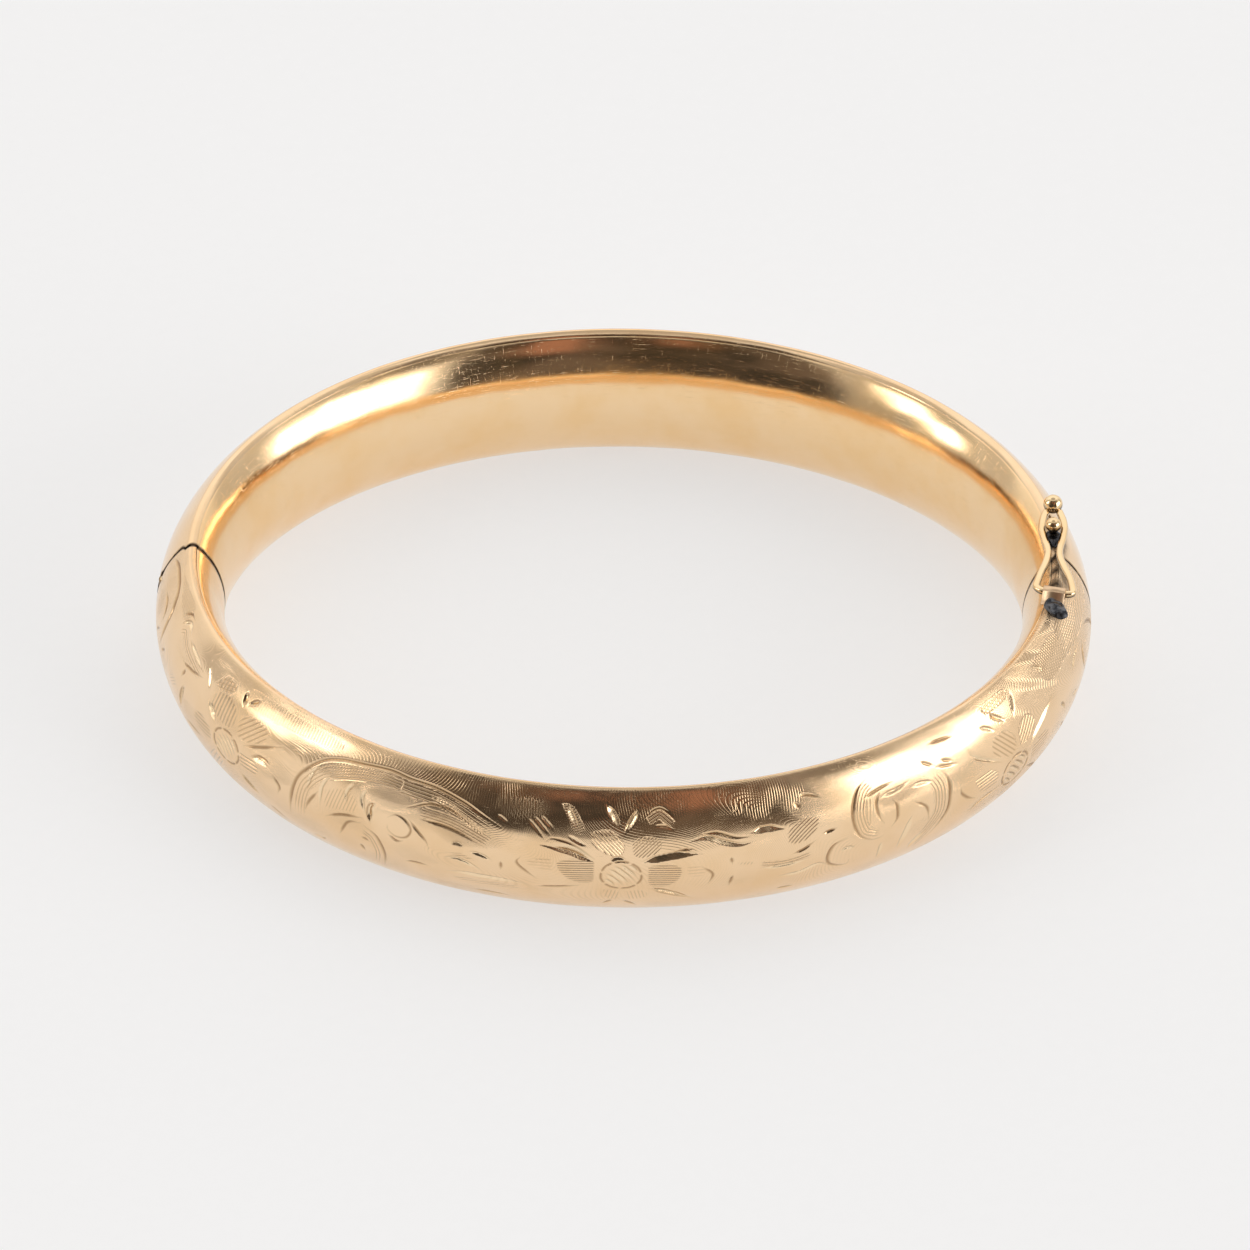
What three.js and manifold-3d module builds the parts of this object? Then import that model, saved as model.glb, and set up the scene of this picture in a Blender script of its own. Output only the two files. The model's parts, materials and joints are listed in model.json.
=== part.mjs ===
// Hinged bangle bracelet: two hollow oval halves on a concealed hinge, a snap tongue, and a
// figure-of-eight safety catch. Millimetres, +Z up, +X towards the clasp, the front half at -Y.
import * as THREE from "three";
import { mergeVertices } from "three/addons/utils/BufferGeometryUtils.js";
import Module from "manifold-3d";

const wasm = await Module();
wasm.setup();

// ---- Driving dimensions -------------------------------------------------------------------

// The band is a tube swept round an oval. The crest is its top and bottom line, and the outer
// shell meets the inner liner at a seam just inside it.
const CREST_X = 31;
const CREST_Y = 26.2;
const HALF_HEIGHT = 5.45;
const OUTER_DEPTH = 2.5;
const OUTER_POWER = 1.7;
const INNER_DEPTH = 2.4;
const INNER_POWER = 1.5;
const SHEET = 0.4;
const LAND_ANGLE = THREE.MathUtils.degToRad(80);
const SEAM_ANGLE = THREE.MathUtils.degToRad(70);
const SEAM_SPLIT = THREE.MathUtils.degToRad(1.3);
const TOP = 2 * HALF_HEIGHT;

// The two cuts that part the front half from the rear half.
const HINGE_CUT_Y = 0.65;
const CLASP_CUT_Y = 0.05;
const HALF_GAP = 0.12;

// End plates close the hollow halves at the cuts.
const PLATE = 0.5;
const PLATE_FIT = 0.05;
const HINGE_RECESS = 0.35;
const CLASP_RECESS = 0.1;

// The hinge is a three-knuckle barrel on a riveted pin, inside the outer curve of the band.
const HINGE_X = -32.75;
const BARREL_RADIUS = 0.5;
const BARREL_HALF = 2.1;
const KNUCKLE_GAP = 0.12;
const KNUCKLE_THIRD = (2 * BARREL_HALF - 2 * KNUCKLE_GAP) / 3;
const PIN_RADIUS = 0.25;
const PIN_BORE = 0.3;
const RIVET_RADIUS = 0.4;
const RIVET_HEIGHT = 0.16;
const BARREL_CLEARANCE = 0.13;
const LEAF_REACH = 1.45;
const RELIEF_HALF_ANGLE = THREE.MathUtils.degToRad(30);
const RELIEF_START = 0.15;

// The snap tongue is two leaves curved about the hinge pin, so that they slide in and out.
const TONGUE_LEAF = 0.3;
const TONGUE_HALF_WIDTH = 2.4;
const TONGUE_INNER_X = 30.35;
const TONGUE_REACH = 6;
const TONGUE_SPREAD = 0.75;
const LEAF_CLEARANCE = 0.06;
const SLOT_LOW_X = 30.05;
const SLOT_HIGH_X = 31.45;
const SLOT_HALF_HEIGHT = 2.75;

// The safety catch swings on an eye on the front half and snaps over a peg on the rear half.
const CATCH_X = 30.5;
const CATCH_Y = -4.75;
const CATCH_Z = TOP + 0.45;
const CATCH_TURN = THREE.MathUtils.degToRad(-1);
const BAR_TURN = THREE.MathUtils.degToRad(-12);
const WIRE_RADIUS = 0.25;
const EYE_WIDTH = 1.6;
const EYE_RADIUS = 0.42;
const EYE_BORE = 0.32;
const EYE_FOOT = 1.15;
const EYE_FOOT_HEIGHT = 0.3;
const SEAT_GAP = 0.05;
const TIP_BALL_RADIUS = 0.69;
const TIP_BALL_Y = 9.6;
const TIP_BALL_RISE = 0.4;
const PEG_Y = 7.2;
const PEG_HEAD_RADIUS = 0.56;
const PEG_HEAD_RISE = 0.4;
const PEG_STEM_RADIUS = 0.28;

// ---- Solids -------------------------------------------------------------------------------

function toSolid(geometry) {
  const bare = geometry.index ? geometry.toNonIndexed() : geometry.clone();
  bare.deleteAttribute("normal");
  bare.deleteAttribute("uv");
  const merged = mergeVertices(bare, 1e-4);
  return new wasm.Manifold(
    new wasm.Mesh({
      numProp: 3,
      vertProperties: merged.attributes.position.array,
      triVerts: new Uint32Array(merged.index.array),
    }),
  );
}

function toGeometry(solid) {
  const mesh = solid.getMesh();
  const geometry = new THREE.BufferGeometry();
  geometry.setAttribute("position", new THREE.BufferAttribute(mesh.vertProperties, 3));
  geometry.setIndex(new THREE.BufferAttribute(mesh.triVerts, 1));
  geometry.computeVertexNormals();
  return geometry;
}

// An upright cylinder between two heights.
function post(x, y, low, high, radius, sides = 20) {
  const geometry = new THREE.CylinderGeometry(radius, radius, high - low, sides);
  geometry.rotateX(Math.PI / 2);
  geometry.translate(x, y, (low + high) / 2);
  return toSolid(geometry);
}

function block(low, high) {
  const size = new THREE.Vector3().subVectors(high, low);
  const geometry = new THREE.BoxGeometry(size.x, size.y, size.z);
  geometry.translate(...new THREE.Vector3().addVectors(low, high).multiplyScalar(0.5));
  return toSolid(geometry);
}

// A plan outline raised between two heights.
function raised(shape, low, high, curveSegments = 12) {
  const options = { depth: high - low, bevelEnabled: false, curveSegments };
  const geometry = new THREE.ExtrudeGeometry(shape, options);
  geometry.translate(0, 0, low);
  return toSolid(geometry);
}

// ---- The band -----------------------------------------------------------------------------

const outerOffset = (angle, depth) => depth * Math.cos(angle) ** OUTER_POWER;
const innerOffset = (angle, depth) => -depth * Math.cos(angle) ** INNER_POWER;

// A run of points along one curve of the section, as [offset from the crest line, height].
function skinRun(offset, depth, halfHeight, from, to, steps) {
  const points = [];
  for (let i = 0; i <= steps; i++) {
    const angle = THREE.MathUtils.lerp(from, to, i / steps);
    const height = (halfHeight * Math.sin(angle)) / Math.sin(LAND_ANGLE);
    points.push([offset(angle, depth), HALF_HEIGHT + height]);
  }
  return points;
}

// One face of the outer shell: the outer curve, rolled over the crest at both edges.
function shellFace(inset) {
  const halfHeight = HALF_HEIGHT - inset;
  const inner = INNER_DEPTH - inset;
  return [
    ...skinRun(innerOffset, inner, halfHeight, -SEAM_ANGLE, -LAND_ANGLE, 2),
    ...skinRun(outerOffset, OUTER_DEPTH - inset, halfHeight, -LAND_ANGLE, LAND_ANGLE, 12),
    ...skinRun(innerOffset, inner, halfHeight, LAND_ANGLE, SEAM_ANGLE, 2),
  ];
}

// One face of the liner, which stops just short of the rolled edges.
function linerFace(inset) {
  const edge = SEAM_ANGLE - SEAM_SPLIT;
  return skinRun(innerOffset, INNER_DEPTH - inset, HALF_HEIGHT - inset, -edge, edge, 10);
}

const sheetSection = (face) => [...face(0), ...face(SHEET).reverse()];

// A closed section swept round the whole oval, square to the crest line.
function sweptRing(section) {
  const stations = 60;
  const positions = [];
  const index = [];
  for (let s = 0; s < stations; s++) {
    const turn = ((s + 0.5) / stations) * 2 * Math.PI;
    const normal = new THREE.Vector2(Math.cos(turn) / CREST_X, Math.sin(turn) / CREST_Y);
    normal.normalize();
    for (const [offset, height] of section) {
      positions.push(
        CREST_X * Math.cos(turn) + offset * normal.x,
        CREST_Y * Math.sin(turn) + offset * normal.y,
        height,
      );
    }
  }
  const count = section.length;
  for (let s = 0; s < stations; s++) {
    const here = s * count;
    const next = ((s + 1) % stations) * count;
    for (let i = 0; i < count; i++) {
      const j = (i + 1) % count;
      index.push(here + i, next + i, next + j, here + i, next + j, here + j);
    }
  }
  const geometry = new THREE.BufferGeometry();
  geometry.setAttribute("position", new THREE.Float32BufferAttribute(positions, 3));
  geometry.setIndex(index);
  return toSolid(geometry);
}

// Everything on one side of the two cuts: direction 1 is the rear half, -1 the front half.
function halfSpace(direction) {
  const far = 40;
  const hingeEdge = HINGE_CUT_Y + direction * HALF_GAP;
  const claspEdge = CLASP_CUT_Y + direction * HALF_GAP;
  const outline = new THREE.Shape([
    new THREE.Vector2(-far, hingeEdge),
    new THREE.Vector2(0, hingeEdge),
    new THREE.Vector2(0, claspEdge),
    new THREE.Vector2(far, claspEdge),
    new THREE.Vector2(far, direction * far),
    new THREE.Vector2(-far, direction * far),
  ]);
  return raised(outline, -1, TOP + 1);
}

// The V on the outside of the hinge that lets the halves swing past square.
function hingeRelief() {
  const reach = 2;
  const apex = HINGE_X + RELIEF_START;
  const spread = (reach + RELIEF_START) * Math.tan(RELIEF_HALF_ANGLE);
  const outline = new THREE.Shape([
    new THREE.Vector2(apex, HINGE_CUT_Y),
    new THREE.Vector2(HINGE_X - reach, HINGE_CUT_Y + spread),
    new THREE.Vector2(HINGE_X - reach, HINGE_CUT_Y - spread),
  ]);
  return raised(outline, SHEET, TOP - SHEET);
}

const barrelLow = HALF_HEIGHT - BARREL_HALF;
const barrelHigh = HALF_HEIGHT + BARREL_HALF;
const barrelSpace = post(
  HINGE_X,
  HINGE_CUT_Y,
  barrelLow - 2 * RIVET_HEIGHT,
  barrelHigh + 2 * RIVET_HEIGHT,
  BARREL_RADIUS + BARREL_CLEARANCE,
  24,
);

function bandSheet(section, direction) {
  return sweptRing(section)
    .intersect(halfSpace(direction))
    .subtract(hingeRelief())
    .subtract(barrelSpace);
}

const outerSection = sheetSection(shellFace);
const linerSection = sheetSection(linerFace).reverse();

// ---- End plates ---------------------------------------------------------------------------

// The filled cross-section inside the sheets, standing in the XZ plane, from nearY to farY.
function endPlate(side, nearY, farY) {
  const inset = SHEET + PLATE_FIT;
  const middle = (nearY + farY) / 2;
  const crest = CREST_X * Math.sqrt(1 - (middle / CREST_Y) ** 2);
  const steps = 14;
  const outline = new THREE.Shape();
  for (let i = 0; i < 2 * steps; i++) {
    const angle = (i / steps) * Math.PI - Math.PI / 2;
    const inner = i > steps;
    const depth = (inner ? INNER_DEPTH : OUTER_DEPTH) - inset;
    const offset = inner ? innerOffset(Math.PI - angle, depth) : outerOffset(angle, depth);
    const height = (HALF_HEIGHT - inset) * Math.sin(angle);
    const point = [side * (crest + offset), HALF_HEIGHT + height];
    if (i === 0) outline.moveTo(...point);
    else outline.lineTo(...point);
  }
  outline.closePath();
  const geometry = new THREE.ExtrudeGeometry(outline, {
    depth: farY - nearY,
    bevelEnabled: false,
  });
  geometry.rotateX(Math.PI / 2);
  geometry.translate(0, farY, 0);
  return toSolid(geometry);
}

function hingePlate(direction) {
  const face = HINGE_CUT_Y + direction * (HALF_GAP + HINGE_RECESS);
  const back = face + direction * PLATE;
  return endPlate(-1, Math.min(face, back), Math.max(face, back)).subtract(barrelSpace);
}

const rearClaspFace = CLASP_CUT_Y + HALF_GAP + CLASP_RECESS;
const frontClaspFace = CLASP_CUT_Y - HALF_GAP - CLASP_RECESS;

function rearClaspPlate() {
  const slot = block(
    new THREE.Vector3(SLOT_LOW_X, rearClaspFace - 1, HALF_HEIGHT - SLOT_HALF_HEIGHT),
    new THREE.Vector3(SLOT_HIGH_X, rearClaspFace + 1, HALF_HEIGHT + SLOT_HALF_HEIGHT),
  );
  return endPlate(1, rearClaspFace, rearClaspFace + PLATE).subtract(slot);
}

// ---- Hinge --------------------------------------------------------------------------------

// One knuckle: a tube on the pin with a leaf that lies against its half's end plate.
function knuckle(low, direction) {
  const high = low + KNUCKLE_THIRD;
  const leafNear = HINGE_CUT_Y + direction * HALF_GAP;
  const leafFar = leafNear + direction * HINGE_RECESS;
  const leaf = block(
    new THREE.Vector3(HINGE_X, Math.min(leafNear, leafFar), low),
    new THREE.Vector3(HINGE_X + LEAF_REACH, Math.max(leafNear, leafFar), high),
  );
  return post(HINGE_X, HINGE_CUT_Y, low, high, BARREL_RADIUS)
    .add(leaf)
    .subtract(post(HINGE_X, HINGE_CUT_Y, low - 1, high + 1, PIN_BORE));
}

// A straight pin with a peened head at each end.
function hingePin() {
  const headStart = BARREL_HALF + 0.02;
  const tip = headStart + RIVET_HEIGHT;
  const profile = [
    [0, -tip],
    [RIVET_RADIUS / 2, -tip],
    [RIVET_RADIUS, -headStart],
    [PIN_RADIUS, -headStart],
    [PIN_RADIUS, headStart],
    [RIVET_RADIUS, headStart],
    [RIVET_RADIUS / 2, tip],
    [0, tip],
  ].map(([radius, height]) => new THREE.Vector2(radius, height));
  const geometry = new THREE.LatheGeometry(profile, 20);
  geometry.rotateX(Math.PI / 2);
  geometry.translate(HINGE_X, HINGE_CUT_Y, HALF_HEIGHT);
  return geometry;
}

// ---- Snap tongue --------------------------------------------------------------------------

const tongueRadius = TONGUE_INNER_X - HINGE_X;
const angleAt = (y, radius) => Math.asin((y - HINGE_CUT_Y) / radius);
const aroundPin = (radius, y) => {
  const angle = angleAt(y, radius);
  return new THREE.Vector2(
    HINGE_X + radius * Math.cos(angle),
    HINGE_CUT_Y + radius * Math.sin(angle),
  );
};

// A curved strip between two rows of plan points, as wide as the tongue.
function strip(outline) {
  return raised(
    new THREE.Shape(outline),
    HALF_HEIGHT - TONGUE_HALF_WIDTH,
    HALF_HEIGHT + TONGUE_HALF_WIDTH,
  );
}

function tongueBaseLeaf() {
  const steps = 8;
  const startY = frontClaspFace + 0.02;
  const inner = [];
  const outer = [];
  for (let i = 0; i <= steps; i++) {
    const y = THREE.MathUtils.lerp(startY, TONGUE_REACH, i / steps);
    inner.push(aroundPin(tongueRadius, y));
    outer.push(aroundPin(tongueRadius + TONGUE_LEAF, y));
  }
  const nose = aroundPin(tongueRadius + TONGUE_LEAF, TONGUE_REACH);
  return strip([...inner, ...outer.reverse()]).add(
    post(
      nose.x,
      nose.y,
      HALF_HEIGHT - TONGUE_HALF_WIDTH,
      HALF_HEIGHT + TONGUE_HALF_WIDTH,
      TONGUE_LEAF,
    ),
  );
}

// The spring leaf rises from the nose towards the mouth, so its free end hooks behind the plate.
function tongueSpringLeaf() {
  const steps = 8;
  const startY = TONGUE_REACH - TONGUE_LEAF - LEAF_CLEARANCE;
  const endY = rearClaspFace + PLATE + 0.3;
  const inner = [];
  const outer = [];
  for (let i = 0; i <= steps; i++) {
    const y = THREE.MathUtils.lerp(startY, endY, i / steps);
    const rise = TONGUE_LEAF + LEAF_CLEARANCE + TONGUE_SPREAD * (i / steps) ** 1.3;
    inner.push(aroundPin(tongueRadius + rise, y));
    outer.push(aroundPin(tongueRadius + rise + TONGUE_LEAF, y));
  }
  return strip([...inner.reverse(), ...outer]);
}

// ---- Safety catch, in a frame whose origin is on the swing axis and whose +Y runs to the tip

// Half of the loop: distance either side of the middle line, and distance from the swing axis.
const LOOP_HALF = [
  [0.46, 9.05],
  [0.7, 8.25],
  [0.81, 7.2],
  [0.66, 6.1],
  [0.44, 4.9],
  [0.44, 4.1],
  [0.66, 3.1],
  [1.0, 2.0],
  [1.24, 0.95],
];
const BAR_HALF = 0.92;
const CORNER_REACH = 1.27;

function loopPath() {
  const lift = (y) => 0.12 * THREE.MathUtils.smoothstep(y, 7.5, 9);
  const side = (sign) => LOOP_HALF.map(([x, y]) => new THREE.Vector3(sign * x, y, lift(y)));
  const bar = (x) => new THREE.Vector3(x, x * Math.tan(BAR_TURN), 0);
  const corner = (sign) =>
    new THREE.Vector3(sign * CORNER_REACH, 0.3 + sign * CORNER_REACH * Math.tan(BAR_TURN), 0);
  const middle = [-BAR_HALF, -BAR_HALF / 2, 0, BAR_HALF / 2, BAR_HALF].map(bar);
  const points = [...side(-1), corner(-1), ...middle, corner(1), ...side(1).reverse()];
  return new THREE.CatmullRomCurve3(points, false, "centripetal");
}

function loopWire() {
  const section = new THREE.Shape().absarc(0, 0, WIRE_RADIUS, 0, 2 * Math.PI);
  return new THREE.ExtrudeGeometry(section, {
    extrudePath: loopPath(),
    steps: 96,
    curveSegments: 5,
    bevelEnabled: false,
  });
}

function tipBall() {
  const geometry = new THREE.SphereGeometry(TIP_BALL_RADIUS, 16, 10);
  geometry.rotateX(Math.PI / 2);
  geometry.translate(0, TIP_BALL_Y, TIP_BALL_RISE);
  return geometry;
}

// A folded strip soldered to the crest, with the loop's bar through it.
function catchEye() {
  const foot = TOP + SEAT_GAP - CATCH_Z;
  const barrel = new THREE.CylinderGeometry(EYE_RADIUS, EYE_RADIUS, EYE_WIDTH, 20);
  barrel.rotateZ(Math.PI / 2);
  const bore = new THREE.CylinderGeometry(EYE_BORE, EYE_BORE, EYE_WIDTH + 1, 20);
  bore.rotateZ(Math.PI / 2);
  const tab = block(
    new THREE.Vector3(-EYE_WIDTH / 2, -EYE_FOOT, foot),
    new THREE.Vector3(EYE_WIDTH / 2, 0, foot + EYE_FOOT_HEIGHT),
  );
  return toSolid(barrel).add(tab).subtract(toSolid(bore));
}

// A low mound of solder, flat underneath.
function solderMound(width, length, height) {
  const profile = [[0, 0]];
  const steps = 5;
  for (let i = 0; i <= steps; i++) {
    const angle = (i / steps) * (Math.PI / 2);
    profile.push([Math.cos(angle), Math.sin(angle)]);
  }
  profile[profile.length - 1][0] = 0;
  const points = profile.map(([radius, rise]) => new THREE.Vector2(radius, rise));
  const geometry = new THREE.LatheGeometry(points, 18);
  geometry.rotateX(Math.PI / 2);
  geometry.scale(width / 2, length / 2, height);
  return geometry;
}

// The ring of solder that holds the peg's foot.
function pegSolder() {
  const height = 0.3;
  const mound = toSolid(solderMound(1.5, 1.9, height));
  return mound.subtract(post(0, 0, -1, 1, PEG_STEM_RADIUS + SEAT_GAP));
}

// A headed post that the loop's upper ring snaps over.
function safetyPeg() {
  const foot = TOP + SEAT_GAP - CATCH_Z;
  const steps = 8;
  const neck = Math.asin(PEG_STEM_RADIUS / PEG_HEAD_RADIUS) - Math.PI;
  const profile = [new THREE.Vector2(0, foot), new THREE.Vector2(PEG_STEM_RADIUS, foot)];
  for (let i = 0; i <= steps; i++) {
    const angle = THREE.MathUtils.lerp(-neck, 0, i / steps);
    const radius = i === steps ? 0 : PEG_HEAD_RADIUS * Math.sin(angle);
    profile.push(new THREE.Vector2(radius, PEG_HEAD_RISE + PEG_HEAD_RADIUS * Math.cos(angle)));
  }
  const geometry = new THREE.LatheGeometry(profile, 18);
  geometry.rotateX(Math.PI / 2);
  return geometry;
}

// ---- Assembly -----------------------------------------------------------------------------

const metal = (color, roughness) =>
  new THREE.MeshStandardMaterial({ color, roughness, metalness: 1 });
const GOLD = metal(0xe4c496, 0.18);
const LINER_GOLD = metal(0xeccea8, 0.24);
const PLATE_GOLD = metal(0xc9a15f, 0.4);
const WIRE_GOLD = metal(0xe6c37d, 0.2);
const SPRING_GOLD = metal(0xb8925a, 0.35);
const SOLDER = metal(0x3a3835, 0.6);

function named(name, geometry, material) {
  const mesh = new THREE.Mesh(geometry, material);
  mesh.name = name;
  return mesh;
}

const solid = (name, body, material) => named(name, toGeometry(body), material);

const bangle = new THREE.Group();
const rearHalf = new THREE.Group();
const frontHalf = new THREE.Group();

const knuckleStep = KNUCKLE_THIRD + KNUCKLE_GAP;
rearHalf.add(
  solid("rear_outer_shell", bandSheet(outerSection, 1), GOLD),
  solid("rear_inner_liner", bandSheet(linerSection, 1), LINER_GOLD),
  solid("rear_hinge_plate", hingePlate(1), PLATE_GOLD),
  solid("rear_clasp_plate", rearClaspPlate(), PLATE_GOLD),
  solid("rear_knuckle_lower", knuckle(barrelLow, 1), PLATE_GOLD),
  solid("rear_knuckle_upper", knuckle(barrelLow + 2 * knuckleStep, 1), PLATE_GOLD),
  named("hinge_pin", hingePin(), WIRE_GOLD),
);

const frontClaspPlate = endPlate(1, frontClaspFace - PLATE, frontClaspFace);
frontHalf.add(
  solid("front_outer_shell", bandSheet(outerSection, -1), GOLD),
  solid("front_inner_liner", bandSheet(linerSection, -1), LINER_GOLD),
  solid("front_hinge_plate", hingePlate(-1), PLATE_GOLD),
  solid("front_clasp_plate", frontClaspPlate, PLATE_GOLD),
  solid("front_knuckle_middle", knuckle(barrelLow + knuckleStep, -1), PLATE_GOLD),
  solid("tongue_base_leaf", tongueBaseLeaf(), SPRING_GOLD),
  solid("tongue_spring_leaf", tongueSpringLeaf(), SPRING_GOLD),
);

// The catch's own frame, shared by the loop and by what it swings on and snaps over.
function catchFrame() {
  const frame = new THREE.Group();
  frame.position.set(CATCH_X, CATCH_Y, CATCH_Z);
  frame.rotation.z = CATCH_TURN;
  return frame;
}

const safetyCatch = catchFrame();
safetyCatch.add(
  named("safety_loop_wire", loopWire(), WIRE_GOLD),
  named("safety_tip_ball", tipBall(), WIRE_GOLD),
);

const eyeFrame = catchFrame();
const eye = solid("catch_eye", catchEye(), WIRE_GOLD);
eye.rotation.z = BAR_TURN;
const eyeSolder = named("catch_eye_solder", solderMound(1.3, 1.5, 0.3), SOLDER);
eyeSolder.position.set(-0.05, -1.98, TOP + SEAT_GAP - CATCH_Z);
eyeFrame.add(eye, eyeSolder);
frontHalf.add(eyeFrame);

const pegFrame = catchFrame();
const peg = named("safety_peg", safetyPeg(), WIRE_GOLD);
peg.position.y = PEG_Y;
const pegSeat = solid("safety_peg_solder", pegSolder(), SOLDER);
pegSeat.position.set(0, PEG_Y, TOP + SEAT_GAP - CATCH_Z);
pegFrame.add(peg, pegSeat);
rearHalf.add(pegFrame);

bangle.add(rearHalf, frontHalf, safetyCatch);

export default bangle;
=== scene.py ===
"""Looks for the hinged bangle: engraved front half, plain rear half, liners, and wire safety catch."""

import json
import math

import bpy
import numpy as np
from mathutils import Matrix, Vector


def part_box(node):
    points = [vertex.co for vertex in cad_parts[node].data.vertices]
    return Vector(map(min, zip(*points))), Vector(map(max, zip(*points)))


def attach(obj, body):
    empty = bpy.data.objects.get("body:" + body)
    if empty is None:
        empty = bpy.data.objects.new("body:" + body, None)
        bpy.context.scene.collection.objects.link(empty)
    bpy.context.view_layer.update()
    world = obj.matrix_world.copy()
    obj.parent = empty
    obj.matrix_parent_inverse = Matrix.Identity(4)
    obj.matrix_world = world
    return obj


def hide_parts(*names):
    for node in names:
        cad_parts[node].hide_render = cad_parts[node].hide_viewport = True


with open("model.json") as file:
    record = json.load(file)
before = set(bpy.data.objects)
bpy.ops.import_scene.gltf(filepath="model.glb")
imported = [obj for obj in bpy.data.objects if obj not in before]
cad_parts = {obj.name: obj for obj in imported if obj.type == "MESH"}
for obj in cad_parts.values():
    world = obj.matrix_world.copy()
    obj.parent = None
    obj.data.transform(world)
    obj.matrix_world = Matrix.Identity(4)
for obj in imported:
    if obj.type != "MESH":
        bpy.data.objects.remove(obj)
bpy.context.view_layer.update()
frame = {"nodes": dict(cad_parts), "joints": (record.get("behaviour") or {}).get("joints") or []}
MM = 0.001

# ---- Dimensions, in millimetres ---------------------------------------------------------------

OUTER_DEPTH = 2.5
OUTER_POWER = 1.7
INNER_DEPTH = 2.4
INNER_POWER = 1.5
SHEET = 0.4
SEAM_ANGLE = math.radians(70)
SEAM_GAP = 0.05
REAR_SEAM_GAP = 0.002
LIP = 0.05
REAR_LIP = 0.006
HALF_GAP = 0.05
HINGE_GAP_EXTRA = 0.06
CLASP_GAP_INNER = 0.035
CLASP_GAP_EXTRA = 0.045

shell_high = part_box("rear_outer_shell")[1]
TOP = shell_high.z / MM
HALF_HEIGHT = TOP / 2
CREST_X = shell_high.x / MM - OUTER_DEPTH
CREST_Y = shell_high.y / MM - OUTER_DEPTH

joints = {j["name"]: j for j in frame["joints"]}
HINGE_X, HINGE_CUT_Y = (c / MM for c in joints["hinge_open"]["pos_m"][:2])
pin_low, pin_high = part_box("hinge_pin")
rear_plate_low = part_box("rear_clasp_plate")[0]
front_plate_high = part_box("front_clasp_plate")[1]
CLASP_CUT_Y = (rear_plate_low.y + front_plate_high.y) / 2 / MM
BARREL_HALF = (pin_high.z - pin_low.z) / 2 / MM + 0.15
BARREL_SPACE = 0.63
CUT_STEPS = 12
RELIEF_APEX = HINGE_X + 0.15
RELIEF_SLOPE = math.tan(math.radians(30))
# The worn dip where the halves meet at the hinge, on the upper edge: (depth, offset from the crest, width).
HINGE_DIPS = ((0.36, 0.1, 0.34), (0.16, 0.34, 0.1))


# ---- Mesh helpers -----------------------------------------------------------------------------

def add_mesh(name, points_mm, faces, material, body, replaces, smooth=True):
    """A mesh piece from points in millimetres, riding on a body of the CAD frame."""
    mesh = bpy.data.meshes.new(name)
    mesh.from_pydata((np.asarray(points_mm) * MM).tolist(), [], faces)
    return finish_mesh(mesh, name, material, body, replaces, smooth)


def finish_mesh(mesh, name, material, body, replaces, smooth=True):
    mesh.polygons.foreach_set("use_smooth", [smooth] * len(mesh.polygons))
    mesh.materials.append(material)
    mesh.update()
    piece = bpy.data.objects.new(name, mesh)
    bpy.context.scene.collection.objects.link(piece)
    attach(piece, body)
    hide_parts(*replaces)
    return piece


def smoothstep(x, low, high):
    share = np.clip((x - low) / (high - low), 0, 1)
    return share * share * (3 - 2 * share)


def spline(points, step=0.12):
    """A Catmull-Rom line through the points, at about even steps."""
    points = np.asarray(points, float)
    if len(points) == 2:
        count = max(3, int(np.linalg.norm(points[1] - points[0]) / step))
        share = np.linspace(0, 1, count)[:, None]
        return points[0] + (points[1] - points[0]) * share
    first = 2 * points[0] - points[1]
    last = 2 * points[-1] - points[-2]
    padded = np.vstack([first, points, last])
    run = []
    for i in range(1, len(padded) - 2):
        before, start, end, after = padded[i - 1 : i + 3]
        count = max(2, int(np.linalg.norm(end - start) / step))
        t = np.linspace(0, 1, count, endpoint=False)[:, None]
        run.append(
            0.5 * (2 * start + (end - before) * t
                   + (2 * before - 5 * start + 4 * end - after) * t**2
                   + (3 * start - before - 3 * end + after) * t**3)
        )
    run.append(points[-1:])
    return np.vstack(run)


# ---- The band's surface -----------------------------------------------------------------------

def outer_run(low, high, count, inset=0.0):
    """(offset from the crest line, height) along the outer curve between two section angles."""
    angle = np.linspace(low, high, count)
    return np.c_[
        (OUTER_DEPTH - inset) * np.abs(np.cos(angle)) ** OUTER_POWER,
        HALF_HEIGHT + (HALF_HEIGHT - inset) * np.sin(angle),
    ]


def inner_run(low, high, count, inset=0.0):
    angle = np.linspace(low, high, count)
    return np.c_[
        -(INNER_DEPTH - inset) * np.abs(np.cos(angle)) ** INNER_POWER,
        HALF_HEIGHT + (HALF_HEIGHT - inset) * np.sin(angle),
    ]


def arc_lengths(points):
    return np.r_[0, np.cumsum(np.hypot(*np.diff(points, axis=0).T))]


def respaced(points, spacing):
    """The same line with a new row of points; spacing gives the gap wanted at each length."""
    along = arc_lengths(points)
    stops = [0.0]
    while stops[-1] < along[-1]:
        stops.append(stops[-1] + spacing(stops[-1]))
    stops = np.array(stops) * along[-1] / stops[-1]
    return np.c_[np.interp(stops, along, points[:, 0]), np.interp(stops, along, points[:, 1])]


def crest_frame(turn):
    """Crest point and outward normal at a turn, measured from +X."""
    nx, ny = np.cos(turn) / CREST_X, np.sin(turn) / CREST_Y
    length = np.hypot(nx, ny)
    return CREST_X * np.cos(turn), CREST_Y * np.sin(turn), nx / length, ny / length


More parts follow.
